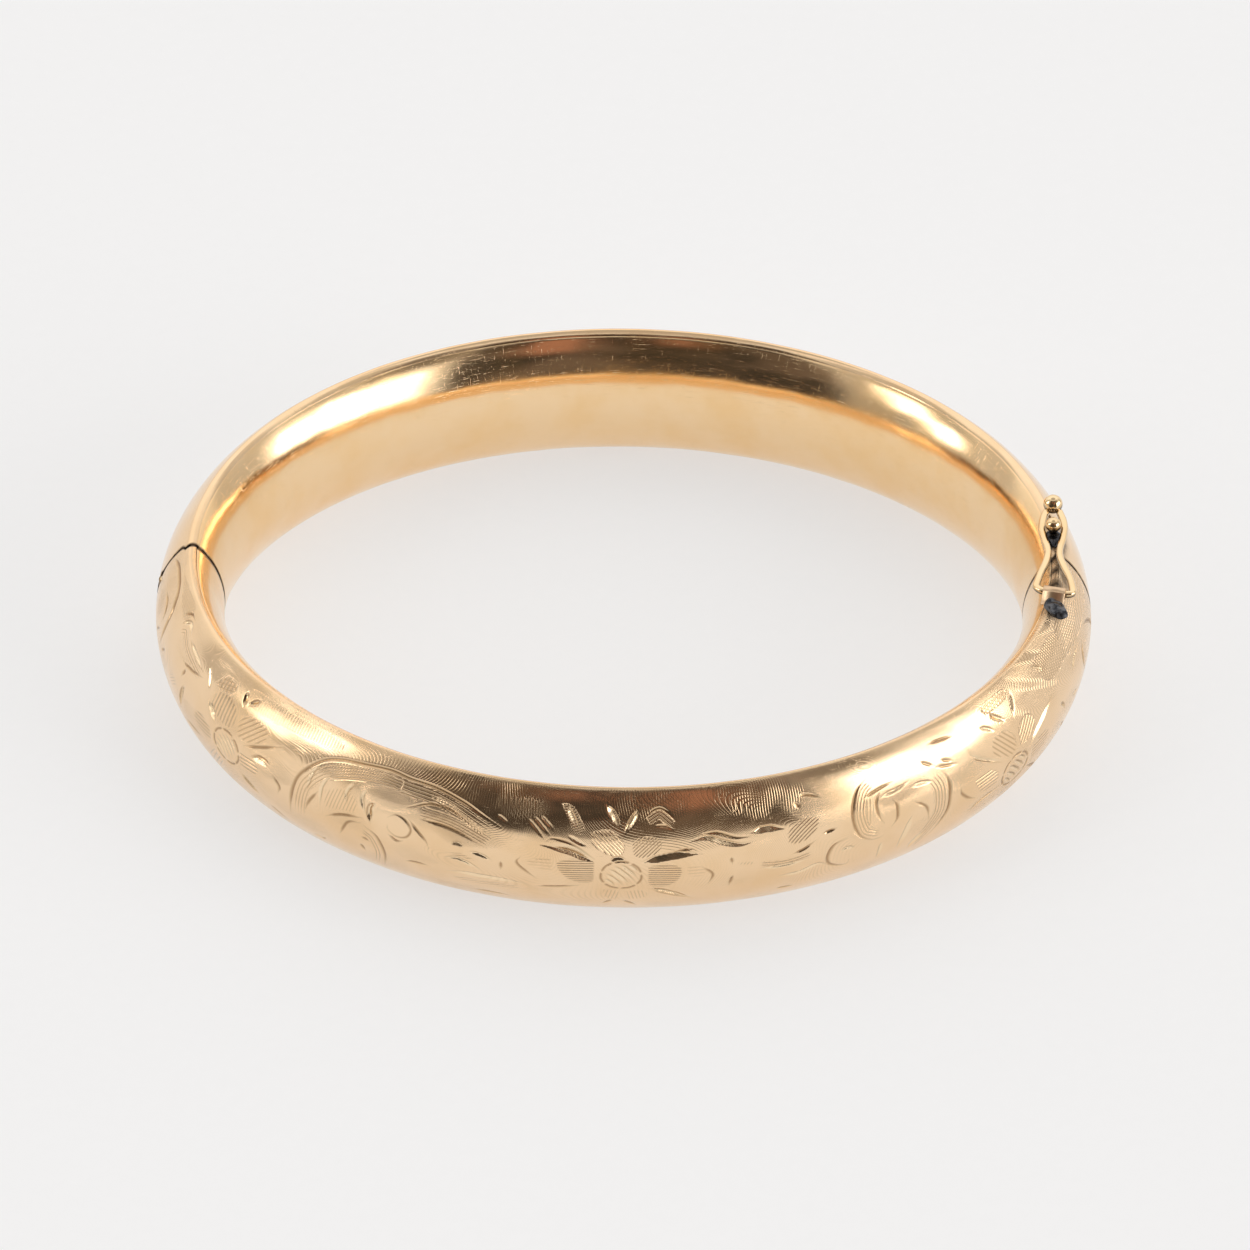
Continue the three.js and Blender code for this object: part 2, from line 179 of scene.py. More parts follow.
def end_turns(section, at_hinge, side):
    """The turn where each section point meets the cut, relief included. side is 1 for the rear half."""
    offset, height = section.T
    turn = np.full(len(section), math.pi if at_hinge else 0.0)
    hinge_gap = HALF_GAP + HINGE_GAP_EXTRA * (1 - smoothstep(offset, 0.6, 1.6))
    clasp_gap = CLASP_GAP_INNER + CLASP_GAP_EXTRA * smoothstep(offset, 0.2, 1.0)
    dip = sum(deep * np.exp(-(((offset - at) / wide) ** 2)) for deep, at, wide in HINGE_DIPS)
    notch = dip * (height > HALF_HEIGHT)
    reach = 1 - smoothstep(np.abs(height - HALF_HEIGHT), BARREL_HALF - 0.1, BARREL_HALF + 0.1)
    for _ in range(CUT_STEPS):
        x, y, nx, ny = crest_frame(turn)
        px, py = x + offset * nx, y + offset * ny
        if at_hinge:
            relief = np.maximum(hinge_gap, (RELIEF_APEX - px) * RELIEF_SLOPE)
            barrel = np.sqrt(np.maximum(BARREL_SPACE**2 - (px - HINGE_X) ** 2, 0))
            target = HINGE_CUT_Y - notch + side * np.maximum(relief, barrel * reach)
            turn = turn - (target - py) / CREST_Y
        else:
            target = CLASP_CUT_Y + side * clasp_gap
            turn = turn + (target - py) / CREST_Y
    return turn


def band_grid(section, side, spacing):
    """Turns for every station and section point, and how far along the crest from the middle each one is."""
    margin = 0.1
    full_turn = 0 if side > 0 else 2 * math.pi
    fine = np.linspace(math.pi + side * margin, full_turn - side * margin, 4001)
    along = arc_lengths(np.stack(crest_frame(fine)[:2], -1))

    def length_at(turn):
        return np.interp(turn, fine[::-side], along[::-side])

    crest = np.array([[0.0, TOP]])
    first = length_at(end_turns(crest, True, side)[0])
    last = length_at(end_turns(crest, False, side)[0] + full_turn)
    middle = length_at(math.pi / 2 + full_turn / 2)
    stops = np.linspace(first, last, int((last - first) / spacing))
    turn = np.interp(stops, along, fine)
    hinge = end_turns(section, True, side) - turn[0]
    clasp = end_turns(section, False, side) + full_turn - turn[-1]
    reach = 4.0
    near_hinge = 1 - smoothstep(stops - first, 0, reach)
    near_clasp = 1 - smoothstep(last - stops, 0, reach)
    turns = turn[:, None] + near_hinge[:, None] * hinge[None] + near_clasp[:, None] * clasp[None]
    return turns, stops - middle


def place(section, turns):
    x, y, nx, ny = crest_frame(turns)
    offset = section[None, :, 0]
    height = np.broadcast_to(section[None, :, 1], turns.shape)
    return np.stack([x + offset * nx, y + offset * ny, height], -1)


def grid_normals(points):
    """Normals of a station-by-section grid, pointing to the left of the section's run."""
    along = np.gradient(points, axis=0)
    across = np.gradient(points, axis=1)
    normal = np.cross(across, along)
    return normal / np.linalg.norm(normal, axis=-1, keepdims=True)


def rungs(face, back, face_points, back_points):
    """Triangles that join two rows of points of different counts."""
    shares = []
    for points in (face_points, back_points):
        along = np.r_[0, np.cumsum(np.linalg.norm(np.diff(points, axis=0), axis=1))]
        shares.append(along / along[-1])
    i = j = 0
    made = []
    while i < len(face) - 1 or j < len(back) - 1:
        face_next = shares[0][i + 1] if i < len(face) - 1 else 2
        back_next = shares[1][j + 1] if j < len(back) - 1 else 2
        if face_next <= back_next:
            made.append((face[i], face[i + 1], back[j]))
            i += 1
        else:
            made.append((face[i], back[j + 1], back[j]))
            j += 1
    return np.array(made)


def sheet_mesh(name, face_points, back_points):
    """A closed sheet from two station-by-section grids; the back one may have fewer section points."""
    stations, rows = face_points.shape[:2]
    back_rows = back_points.shape[1]
    verts = np.concatenate([face_points.reshape(-1, 3), back_points.reshape(-1, 3)])
    base = stations * rows

    def quads(count, start):
        i, j = np.meshgrid(np.arange(stations - 1), np.arange(count - 1), indexing="ij")
        a = start + i * count + j
        return np.stack([a, a + count, a + count + 1, a + 1], -1).reshape(-1, 4)

    i = np.arange(stations - 1)
    low = np.stack([i * rows, base + i * back_rows, base + (i + 1) * back_rows, (i + 1) * rows], -1)
    top, back_top = i * rows + rows - 1, base + i * back_rows + back_rows - 1
    high = np.stack([top, top + rows, back_top + back_rows, back_top], -1)
    sides = np.concatenate([quads(rows, 0), quads(back_rows, base)[:, ::-1], low, high])
    caps = []
    for station, turned in ((0, False), (stations - 1, True)):
        face = station * rows + np.arange(rows)
        back = base + station * back_rows + np.arange(back_rows)
        ladder = rungs(face, back, face_points[station], back_points[station])
        caps.append(ladder[:, ::-1] if turned else ladder)
    caps = np.concatenate(caps)
    loops = np.concatenate([sides.ravel(), caps.ravel()]).astype(np.int32)
    totals = np.r_[np.full(len(sides), 4), np.full(len(caps), 3)].astype(np.int32)
    mesh = bpy.data.meshes.new(name)
    mesh.vertices.add(len(verts))
    mesh.vertices.foreach_set("co", (verts * MM).astype(np.float32).ravel())
    mesh.loops.add(len(loops))
    mesh.loops.foreach_set("vertex_index", loops)
    mesh.polygons.add(len(totals))
    mesh.polygons.foreach_set("loop_start", np.r_[0, np.cumsum(totals)[:-1]].astype(np.int32))
    mesh.update(calc_edges=True)
    mesh.validate()
    return mesh


# ---- Engraving --------------------------------------------------------------------------------
# Places are (s, v) in millimetres: s along the crest from the front's middle, v up round the section.

COARSER = 1.22
CREST_LENGTH = 6.33
LEANING_DEPTH = 2.5
UPRIGHT_DEPTH = 1.6
SHADING_SPACING = 0.18
TOOLING_SPACING = 0.21
RING_CUTS = 7
EYE_DISC = 1.35


class Engraving:
    """Cuts and hatching on a grid of places (s along the band, v up its section)."""

    def __init__(self, s, v):
        self.s, self.v = s, v
        shape = (len(s), len(v))
        self.depth = np.zeros(shape)
        self.line = np.zeros(shape)
        self.facet = np.zeros(shape)
        self.hatch = np.zeros(shape + (4,))

    def window(self, points, margin):
        low, high = points.min(0) - margin, points.max(0) + margin
        i = np.searchsorted(self.s, [low[0], high[0]])
        j = np.searchsorted(self.v, [low[1], high[1]])
        rows, columns = slice(i[0], i[1]), slice(j[0], j[1])
        place_s, place_v = np.meshgrid(self.s[rows], self.v[columns], indexing="ij")
        return rows, columns, place_s, place_v

    def nearest(self, line, place_s, place_v):
        """Signed distance to a line, and the share of its length at the nearest point."""
        best = np.full(place_s.shape, 1e9)
        signed = np.zeros(place_s.shape)
        share = np.zeros(place_s.shape)
        along = arc_lengths(line)
        for k in range(len(line) - 1):
            a, d = line[k], line[k + 1] - line[k]
            size = np.hypot(*d)
            if size < 1e-9:
                continue
            ps, pv = place_s - a[0], place_v - a[1]
            t = np.clip((ps * d[0] + pv * d[1]) / size**2, 0, 1)
            gap = np.hypot(ps - t * d[0], pv - t * d[1])
            closer = gap < best
            best = np.where(closer, gap, best)
            signed = np.where(closer, np.where(ps * d[1] - pv * d[0] < 0, gap, -gap), signed)
            share = np.where(closer, (along[k] + t * size) / along[-1], share)
        return signed, share

    def cut(self, points, width=0.12, lean=0, slope=0.42, taper=(0.3, 0.45)):
        """One pass of the graver. A leaning cut is a flat facet, deep on its left (1) or right (-1) side."""
        line = spline(points)
        width = width * 1.15 + 0.05
        rows, columns, ps, pv = self.window(line, width + 0.1)
        signed, share = self.nearest(line, ps, pv)
        swell = np.minimum(smoothstep(share, 0, taper[0]), smoothstep(1 - share, 0, taper[1]))
        half = width / 2 * (0.25 + 0.75 * swell)
        u = signed / half
        # The groove's darkening worked out below is painted shade and tarnish.
        if lean:
            ramp = np.clip((1 + lean * u) / 2, 0, 1)
            wall = np.clip((1 - lean * u) * half / 0.07, 0, 1)
            depth = slope * LEANING_DEPTH * half * ramp * wall
            groove_shade_and_tarnish = np.clip(1 - np.abs((lean - u) * half) / 0.09, 0, 1) * swell
            # The flat facet is marked for a painted highlight.
            facet = smoothstep(1 - np.abs(u), 0, 0.3) * swell
            np.maximum(self.facet[rows, columns], facet, out=self.facet[rows, columns])
        else:
            depth = slope * UPRIGHT_DEPTH * half * np.clip(1 - (u / 1.15) ** 2, 0, 1) ** 1.5
            groove_shade_and_tarnish = np.clip(1.25 - np.abs(u), 0, 1) * (0.3 + 0.7 * swell)
        here = self.depth[rows, columns]
        np.maximum(here, depth * (0.55 + 0.45 * swell), out=here)
        np.maximum(self.line[rows, columns], groove_shade_and_tarnish, out=self.line[rows, columns])

    def cuts(self, *lines, **how):
        for line in lines:
            self.cut(line, **how)

    def lay(self, rows, columns, phase, strength, layer):
        here = self.hatch[rows, columns]
        wins = strength > here[..., 2 * layer + 1]
        here[..., 2 * layer] = np.where(wins, phase, here[..., 2 * layer])
        here[..., 2 * layer + 1] = np.maximum(strength, here[..., 2 * layer + 1])

    def hatching(self, outline, angle, spacing=0.17, strength=1.0, layer=0, bow=0.0, soft=0.22):
        """Fine ruled lines inside an outline, at an angle in degrees; bow curves them."""
        outline = np.asarray(outline, float)
        rows, columns, ps, pv = self.window(outline, 0.2)
        edge = spline(np.vstack([outline, outline[:1]]), 0.4)
        signed, _ = self.nearest(edge, ps, pv)
        turns = np.zeros(ps.shape)
        for a, b in zip(edge[:-1], edge[1:]):
            first = np.arctan2(a[1] - pv, a[0] - ps)
            second = np.arctan2(b[1] - pv, b[0] - ps)
            turns += (second - first + math.pi) % (2 * math.pi) - math.pi
        inside = np.where(np.abs(turns) > math.pi, np.abs(signed), -np.abs(signed))
        c, d = math.cos(math.radians(angle)), math.sin(math.radians(angle))
        middle = outline.mean(0)
        ls, lv = ps - middle[0], pv - middle[1]
        across = lv * c - ls * d + bow * (ls * c + lv * d) ** 2
        strength = strength * smoothstep(inside, -0.02, soft)
        self.lay(rows, columns, across / (spacing * COARSER), strength, layer)

    def crosshatch(self, outline, angle, spacing=0.16, strength=0.9, spread=70):
        self.hatching(outline, angle, spacing, strength)
        self.hatching(outline, angle + spread, spacing, strength, layer=1)

    def echo(self, points, near, far, spacing=0.2, strength=1.0, layer=0):
        """Fine lines that run beside a cut, from near to far on its left; negative is its right."""
        line = spline(points)
        rows, columns, ps, pv = self.window(line, max(abs(near), abs(far)) + 0.1)
        signed, share = self.nearest(line, ps, pv)
        low, high = min(near, far), max(near, far)
        band = smoothstep(signed, low - 0.05, low + 0.08)
        band = band * (1 - smoothstep(signed, high - 0.08, high + 0.05))
        ends = smoothstep(share, 0.0, 0.1) * (1 - smoothstep(share, 0.85, 1.0))
        self.lay(rows, columns, signed / (spacing * COARSER), strength * band * ends, layer)

    def ground(self):
        """Upright shading behind the centre flower, waves near the clasp, and faint tooling all over."""
        s, v = np.meshgrid(self.s, self.v, indexing="ij")
        everywhere = (slice(None), slice(None))
        drift = 0.5 * np.sin(s * 0.75 + 0.9) + 0.3 * np.sin(s * 1.7 + v * 1.5)
        drift = drift + 0.3 * np.sin(s * 3.1 - v * 2.2)
        upper = smoothstep(v, 2.6, 4.4) * (1 - smoothstep(v, 5.9, 6.4))
        middle = 1 - smoothstep(np.abs(s - 1), 10, 15)
        clasp = smoothstep(s, 27, 31) * smoothstep(v, 0.5, 2.5)
        strength = upper * middle * smoothstep(drift, -0.7, 0.9) * 0.26 + 0.5 * clasp
        waves = clasp * (0.30 * np.sin(v * 2.6 + s * 1.7) + 0.35 * v)
        bend = 0.10 * np.sin(v * 1.4 + s * 0.3) + waves
        self.lay(*everywhere, (s + 0.10 * v + bend) / SHADING_SPACING, strength, 0)
        turn = 0.9 * np.sin(s * 0.21 + 1.0) + 0.5 * np.sin(v * 0.5 + s * 0.13)
        tooling = (s * np.cos(turn) + v * np.sin(turn)) / TOOLING_SPACING
        mottle = 0.5 * np.sin(s * 0.9 - v * 1.1) + 0.5 * np.sin(s * 0.37 + v * 1.9 + 2.0)
        below_crest = 1 - smoothstep(v, 5.2, 6.0)
        self.lay(*everywhere, tooling, 0.06 + 0.20 * smoothstep(mottle, -0.2, 0.9) * below_crest, 1)

    def disc(self, s, v, radius, strokes):
        """The flower's eye: a ring of short cuts, and strokes across it as (offset, reach, width)."""
        for k in range(RING_CUTS):
            a = math.radians(12 + k * 51)
            b = a + math.radians(50)
            arc = [(s + radius * math.cos(t), v + radius * math.sin(t)) for t in (a, (a + b) / 2, b)]
            self.cut(arc, 0.12, slope=0.35, taper=(0.15, 0.15))
        for offset, reach, width in strokes:
            middle_s, middle_v = s + offset, v + offset * 0.9
            start = (middle_s - 0.42 * reach, middle_v + 0.45 * reach)
            end = (middle_s + 0.4 * reach, middle_v - 0.42 * reach)
            self.cut([start, end], width, lean=1, slope=0.36)


def centre_flower(e):
    e.disc(-0.1, -0.5, EYE_DISC, [(-0.75, 0.9, 0.16), (-0.45, 1.5, 0.2), (-0.12, 1.9, 0.24), (0.2, 1.9, 0.22),
                                  (0.5, 1.5, 0.2), (0.8, 0.8, 0.14)])
    e.cuts([(-0.85, 0.85), (-0.3, 1.05), (0.3, 0.9)], width=0.3, lean=1)
    # Side petals.
    e.cuts([(-1.7, 0.7), (-3.4, 1.65), (-5.4, 1.9)], width=0.6, lean=1, slope=0.32)
    e.cuts([(1.07, 0.7), (3.3, 1.2), (5.3, 1.3)], width=0.5, lean=1, slope=0.32)
    e.cuts(
        [(-1.8, 0.95), (-3.4, 2.1), (-4.6, 2.45), (-5, 2.2)],
        [(-6.7, 0.7), (-6.9, 0), (-5.6, -1.3)],
        [(2.8, 1.25), (4.0, 1.68), (4.9, 1.7)],
        [(5.2, 0.1), (5.9, -0.7), (5.6, -1.75)],
        [(-5.8, -2.2), (-4.2, -1.95), (-2.75, -1.6)],
        width=0.15,
    )
    e.hatching([(-1.8, 0.75), (-3.2, 1.0), (-4.4, 0.5), (-4.0, -0.6), (-3.2, -1.3), (-1.9, -1.2)], 4, 0.17)
    e.hatching([(1.6, 0.45), (2.9, 0.65), (3.9, 0.2), (3.8, -0.9), (3.0, -1.7), (1.7, -1.5)], -3, 0.17)
    e.hatching([(-4.6, 1.1), (-6.2, 0.6), (-6.3, 0), (-4.6, -0.4)], 2, 0.24, 0.4)
    e.hatching([(4.2, 0.5), (5.4, 0.1), (5.3, -0.8), (4.2, -0.7)], 0, 0.24, 0.4)
    # Lower petals.
    e.cut([(1.7, -1.75), (3.2, -2.5), (4.7, -3.5)], 0.42, lean=-1)
    e.cuts([(-0.67, -3.5), (-1.4, -4.3)], [(0, -3.55), (1.0, -4.6)], width=0.14)
    e.hatching([(-1.4, -1.9), (-0.2, -2.1), (-0.3, -3.4), (-1.2, -3.2)], 78, 0.2, 0.6)
    e.hatching([(0.2, -2.1), (1.4, -2.0), (1.7, -3.0), (0.4, -3.4)], 100, 0.2, 0.6)
    # Upper petals.
    e.hatching([(-2.2, 3.1), (-0.9, 3.35), (0.15, 2.4), (-0.1, 1.2), (-1.3, 1.5), (-2.1, 2.3)], -50, 0.16)
    e.hatching([(0.7, 1.3), (0.6, 2.4), (1.5, 2.85), (2.6, 2.5), (2.3, 1.5), (1.3, 1.1)], 48, 0.16)
    e.cut([(-1.15, 5.2), (-0.62, 4.3), (-0.1, 3.2)], 0.34, lean=1, slope=0.5)
    e.cut([(1.07, 4.85), (0.6, 3.9), (0.03, 2.9)], 0.32, lean=-1, slope=0.5)
    e.cut([(-3.8, 5), (-3.4, 4.1), (-2.9, 3.1)], 0.3, lean=1)
    e.hatching([(-4.2, 5.1), (-3.3, 4.9), (-2.5, 3.2), (-3.2, 3.0)], 24, 0.16, 0.8)
    e.cut([(-3.65, 2.8), (-2.9, 2.3), (-2.2, 1.95)], 0.2, lean=-1)
    e.cuts([(-6.5, 3.9), (-5.8, 3.1), (-5.1, 2.2)], [(-6.1, 4.1), (-5.4, 3.3), (-4.7, 2.5)],
           [(-5.6, 4.2), (-5.0, 3.5), (-4.4, 2.9)], [(-8.5, 3.75), (-7.55, 3.1)], width=0.16, lean=1)
    e.cuts([(1.4, 4.3), (2.5, 4.85), (3.6, 3.9)], [(2.0, 3.6), (2.9, 3.5), (3.5, 3.1)], width=0.16)
    e.echo([(1.4, 4.3), (2.5, 4.85), (3.6, 3.9)], -0.15, -0.7, 0.17)
    # The wavy leaf on the right and small marks.
    e.cut([(4.4, 2.3), (5.5, 2.5), (6.6, 2.0), (7.8, 1.65), (8.9, 1.9)], 0.3, lean=1)
    e.cut([(5.0, 2.75), (6.2, 2.8), (7.4, 2.3), (8.6, 2.2)], 0.13)
    e.cuts([(7.1, 0.7), (7.2, 0.1)], [(7.25, -1), (7, -2.2)], [(-8, 0), (-8, -0.8)], width=0.16)
    e.hatching([(7.5, 0.25), (8.6, 0.1), (8.6, -0.3), (7.6, -0.1)], 60, 0.18, 0.7)
    e.cuts([(-11.9, -2.2), (-10.2, -1.95), (-7.2, -2), (-5.9, -2.4)], width=0.3, lean=1)
    e.cuts([(-10.2, -4.3), (-8.8, -4.25), (-7.5, -4.4)], width=0.14)
    e.hatching([(-11.5, -2.5), (-7.2, -2.3), (-7.0, -2.9), (-10.8, -3.1)], 10, 0.2, 0.5)


def left_scroll(e):
    big_c = [(-23.6, -1.95), (-23.4, -0.4), (-23.2, 0.8), (-22.9, 1.8), (-22.2, 2.9), (-21.2, 3.9),
             (-20.1, 4.4), (-19, 4.65), (-16.4, 5), (-14.8, 4.85), (-12.8, 4.7), (-10.9, 4.15), (-9.5, 3.5),
             (-8.1, 2.8)]
    e.cut(big_c, 0.2, taper=(0.1, 0.15))
    e.echo(big_c, -0.25, -1.25, 0.2, 0.8)
    e.echo([(-20.6, 2.75), (-19.2, 3.35), (-17.7, 3.75), (-16.3, 3.9), (-14.6, 3.75)], -0.15, 0.75, 0.17)
    e.cuts(
        [(-20.5, 3.05), (-21, 1.9), (-21, 0.1)],
        [(-21.5, 3.45), (-21.9, 2.5), (-22.2, 0.7)],
        [(-17.6, 3.2), (-17.9, 2.35), (-17.5, 1.0)],
        [(-18.6, 3.3), (-19.1, 2.3), (-18.9, 1.2)],
        width=0.18, lean=1,
    )
    e.cut([(-16.7, 2.35), (-17.15, 1.7), (-17, 0.3)], 0.4, lean=-1)
    hook = [(-17.6, 0.1), (-16.7, -0.5), (-16.25, -1.7), (-16.25, -2.8), (-16.6, -4.2)]
    e.echo(hook, -0.2, -0.75, 0.19, 0.8)
    e.cuts(
        hook,
        [(-20.5, -0.4), (-19.2, 0.35), (-17.6, 0.75)],
        [(-19.5, -1.7), (-18.8, -0.15), (-17.8, 0.25)],
        [(-17.8, -1.1), (-17.2, -1.3)],
        [(-18, -1.95), (-17.7, -2.7)],
        [(-15.8, 0.1), (-15.2, -0.3), (-14.7, -0.1)],
        [(-14.4, 1.9), (-13.7, 1.1), (-13.1, 0.4), (-12.9, -0.2)],
        [(-14.7, -2.25), (-14, -2.1), (-13, -2.05)],
        width=0.16,
    )
    e.cut([(-15.9, 1.5), (-15.3, 1.95), (-14.6, 1.7), (-14.2, 1.0), (-14.5, 0.3), (-15.2, 0.1), (-15.8, 0.5),
           (-15.9, 1.1)], 0.12)
    e.cut([(-22.2, -3.9), (-21.6, -3.8), (-21.1, -3.6)], 0.26, lean=1)
    # Leaf with fine veins, and the beaded band over it.
    vein = [(-13.7, 2.2), (-11.4, 1.95), (-8.9, 0.95)]
    e.cuts([(-14.6, 2.75), (-13, 3.45), (-11.4, 3.3), (-10, 2.5)], vein, width=0.17)
    e.echo(vein, 0.12, 0.95, 0.18)
    beads = [(-13.1, 4.15), (-11.7, 3.9), (-10.2, 3.1), (-9.2, 2.2), (-9.6, 1.95), (-11.2, 3.0),
             (-12.8, 3.75)]
    e.crosshatch(beads, 20, 0.18)
    e.cuts(
        [(-11.4, 0.7), (-11, 0.85), (-10.4, 0.7)],
        [(-10.2, 0.4), (-9.3, 0.2), (-8.5, -0.15)],
        [(-12, -0.65), (-10.9, -0.55), (-9.8, -1), (-9.2, -1.5)],
        width=0.24, lean=1,
    )
    inside_c = [(-20.7, 1.8), (-19.4, 2.5), (-18.3, 2.2), (-18.2, 1.0), (-19.4, 0.6), (-20.6, 0.4)]
    e.hatching(inside_c, 75, 0.19, 0.7)
    e.hatching([(-12.2, -0.2), (-10.6, 0.2), (-9.6, -0.4), (-10.8, -0.4)], 12, 0.18, 0.6)


def right_scroll(e):
    e.cut([(8.5, 2.5), (9.6, 2.6), (10.7, 2.4)], 0.36, lean=1)
    e.cuts([(11.9, 4.6), (12.8, 4.4), (13.5, 4)], [(11.6, 4.15), (12, 3.6)], [(13.3, 1.3), (14.4, 1.5)],
           [(11.2, 0.1), (12, 0.35), (12.85, 0.9)], [(10.4, -3.85), (11.7, -3.9)], width=0.17)
    leaf = [(11.0, 2.3), (12.2, 2.9), (13.2, 2.6), (12.8, 1.5), (11.8, 0.9), (10.9, 1.2)]
    e.hatching(leaf, 42, 0.19, bow=0.06)
    e.cuts([(8.9, -0.65), (10.1, -0.85), (11.2, -0.85), (12.8, -0.5)],
           [(10.1, -2), (11.8, -2), (13.1, -1.5), (14.1, -2.25)], width=0.24, lean=1)
    e.echo([(8.9, -0.65), (10.1, -0.85), (11.2, -0.85), (12.8, -0.5)], 0.15, 0.6, 0.18, 0.7)
    e.cut([(15.1, 0.4), (14.1, 0), (13.7, -1), (13.9, -1.8), (14.5, -2.25), (15.2, -2.4), (15.3, -1.9)], 0.2)
    e.cut([(14.6, -0.75), (15.1, -0.6), (15.7, -0.8)], 0.2, lean=1)
    spiral = [(16.9, 4.5), (16.2, 4), (15.8, 3.3), (15.55, 2.2), (15.65, 1.1), (16.05, 0.1), (16.9, -0.5),
              (17.7, -0.5)]
    e.cut(spiral, 0.2)
    e.echo(spiral, 0.22, 0.95, 0.19, 0.85)
    e.cuts([(17.8, 3.25), (17.4, 2.75), (17.3, 2.1), (17.45, 1.25), (17.8, 0.6)],
           [(18.55, 2.35), (18.8, 1.65), (18.75, 0.7), (18.3, 0.1)], [(16.3, 3.05), (17.7, 3.45), (19, 3.6)],
           [(20.1, 1.5), (21.05, 0.55), (21.2, -0.6)], width=0.17)
    e.cuts([(17.6, 2.8), (19, 2.9), (20, 3.2)], [(20, 2.7), (20.9, 2.6), (21.8, 2.4)], width=0.26, lean=1)
    e.cut([(20, 0.55), (19.6, -0.7), (19.2, -2), (19, -2.9)], 0.32, lean=-1)
    e.cut([(17.65, -1.05), (17.65, -2.2), (17.5, -3.1)], 0.2, lean=-1)
    e.cut([(21.05, -1.8), (20.5, -2.5), (20, -3.5)], 0.36, lean=-1)
    e.hatching([(20.9, -1.5), (21.6, -2.1), (21.0, -3.2), (20.4, -3.6), (20.6, -2.6)], 60, 0.18, 0.8)
    e.hatching([(16.1, 2.9), (17.1, 3.0), (17.0, 1.2), (16.3, 0.6)], 85, 0.2, 0.6)


def right_flower(e):
    e.disc(29.2, -1.0, EYE_DISC, [(-0.7, 1.0, 0.15), (-0.35, 1.6, 0.2), (0, 1.9, 0.22), (0.35, 1.7, 0.2),
                                  (0.7, 1.0, 0.15)])
    outer = [(22.5, 3), (22.9, 2.05), (23, 1), (22.8, -0.6), (22.1, -1.8), (21.4, -2.8)]
    e.cut(outer, 0.2)
    e.echo(outer, -0.22, -1.3, 0.2, 0.85)
    e.cuts([(22.1, 5.15), (23.2, 5), (24.4, 4.8)], [(21.1, 4.2), (22.1, 3.4)], [(22.7, 3.65), (23.6, 3.1)],
           [(22.15, 3.3), (24, 2.75)], [(23.9, 0.75), (24, 0.15), (24.6, -0.6), (25.3, -1.1)],
           [(24.9, -2.2), (26, -1.8), (27.6, -1.5)], [(30.8, -1.95), (31.8, -2.8), (33.3, -4.2)], width=0.17)
    e.cut([(24.9, 3.45), (25.35, 2.6), (26.1, 1.95), (27.1, 1.25), (28.2, 0.4)], 0.24, lean=-1)
    e.hatching([(26.9, 1.6), (27.1, 2.8), (28.4, 3.0), (29.2, 2.2), (29.2, 0.8), (28.3, 0.7)], -52, 0.25)
    e.hatching([(29.6, 0.8), (29.7, 2.4), (30.8, 2.9), (31.6, 2.0), (31.0, 0.9)], 50, 0.25)
    e.hatching([(25.0, 0.6), (26.4, 0.9), (27.4, 0.1), (27.3, -0.9), (25.8, -0.9)], 4, 0.25)
    e.hatching([(30.9, -0.3), (32.2, 0.3), (33.2, -0.4), (32.4, -1.5), (31.0, -1.4)], 2, 0.25)
    e.hatching([(28.4, -2.5), (29.6, -2.6), (30.4, -3.6), (29.0, -4.2), (28.0, -3.6)], 50, 0.26)
    e.cut([(28, 4.9), (27.9, 4.4), (28.9, 3.4)], 0.3, lean=1, slope=0.5)
    e.cut([(30.3, 5.25), (29.95, 4.2), (29.6, 3.2)], 0.3, lean=-1, slope=0.5)
    e.cut([(26.4, 4.3), (27.0, 3.9), (27.7, 3.3)], 0.22, lean=1)
    e.crosshatch([(27.2, 5.6), (29.9, 5.6), (29.7, 4.8), (27.4, 4.8)], 15, 0.23)
    e.cut([(30.6, 0.1), (31.8, 1), (33.9, 2.2)], 0.4, lean=1)
    e.cut([(33.1, 5.3), (34.2, 4.2)], 0.24, lean=1)


def right_end(e):
    e.crosshatch([(33.6, 5.5), (37.2, 5.4), (37.0, 3.4), (34.8, 3.0), (33.6, 3.8)], 30, 0.17)
    e.cuts([(34.85, 0.8), (35.5, -0.2)], [(35.5, -1.7), (36, -2.5)], [(37, -0.35), (38, -0.55)],
           [(42.7, 4.85), (43.8, 4.4)], width=0.2, lean=1)
    leaf = [(40, 2.15), (39.6, 1.4), (39.7, 0.4), (40, -0.4)]
    e.cut(leaf, 0.22)
    e.echo(leaf, 0.2, 0.9, 0.19, 0.7)
    e.hatching([(36.2, 3.2), (38.0, 5.7), (44.6, 6.1), (44.6, 3.2), (40.0, 2.8)], 6, 0.2, 0.8)
    e.hatching([(37.4, 3.6), (38.6, 5.6), (43.6, 5.9), (43.4, 4.6), (39.0, 3.4)], 74, 0.2, 0.6, layer=1)
    e.cut([(41.2, 2.6), (42.4, 1.9), (43.4, 0.8), (43.9, -0.6)], 0.18)
    e.cut([(37.2, 1.7), (38.0, 2.3), (39.0, 2.5)], 0.2, lean=1)


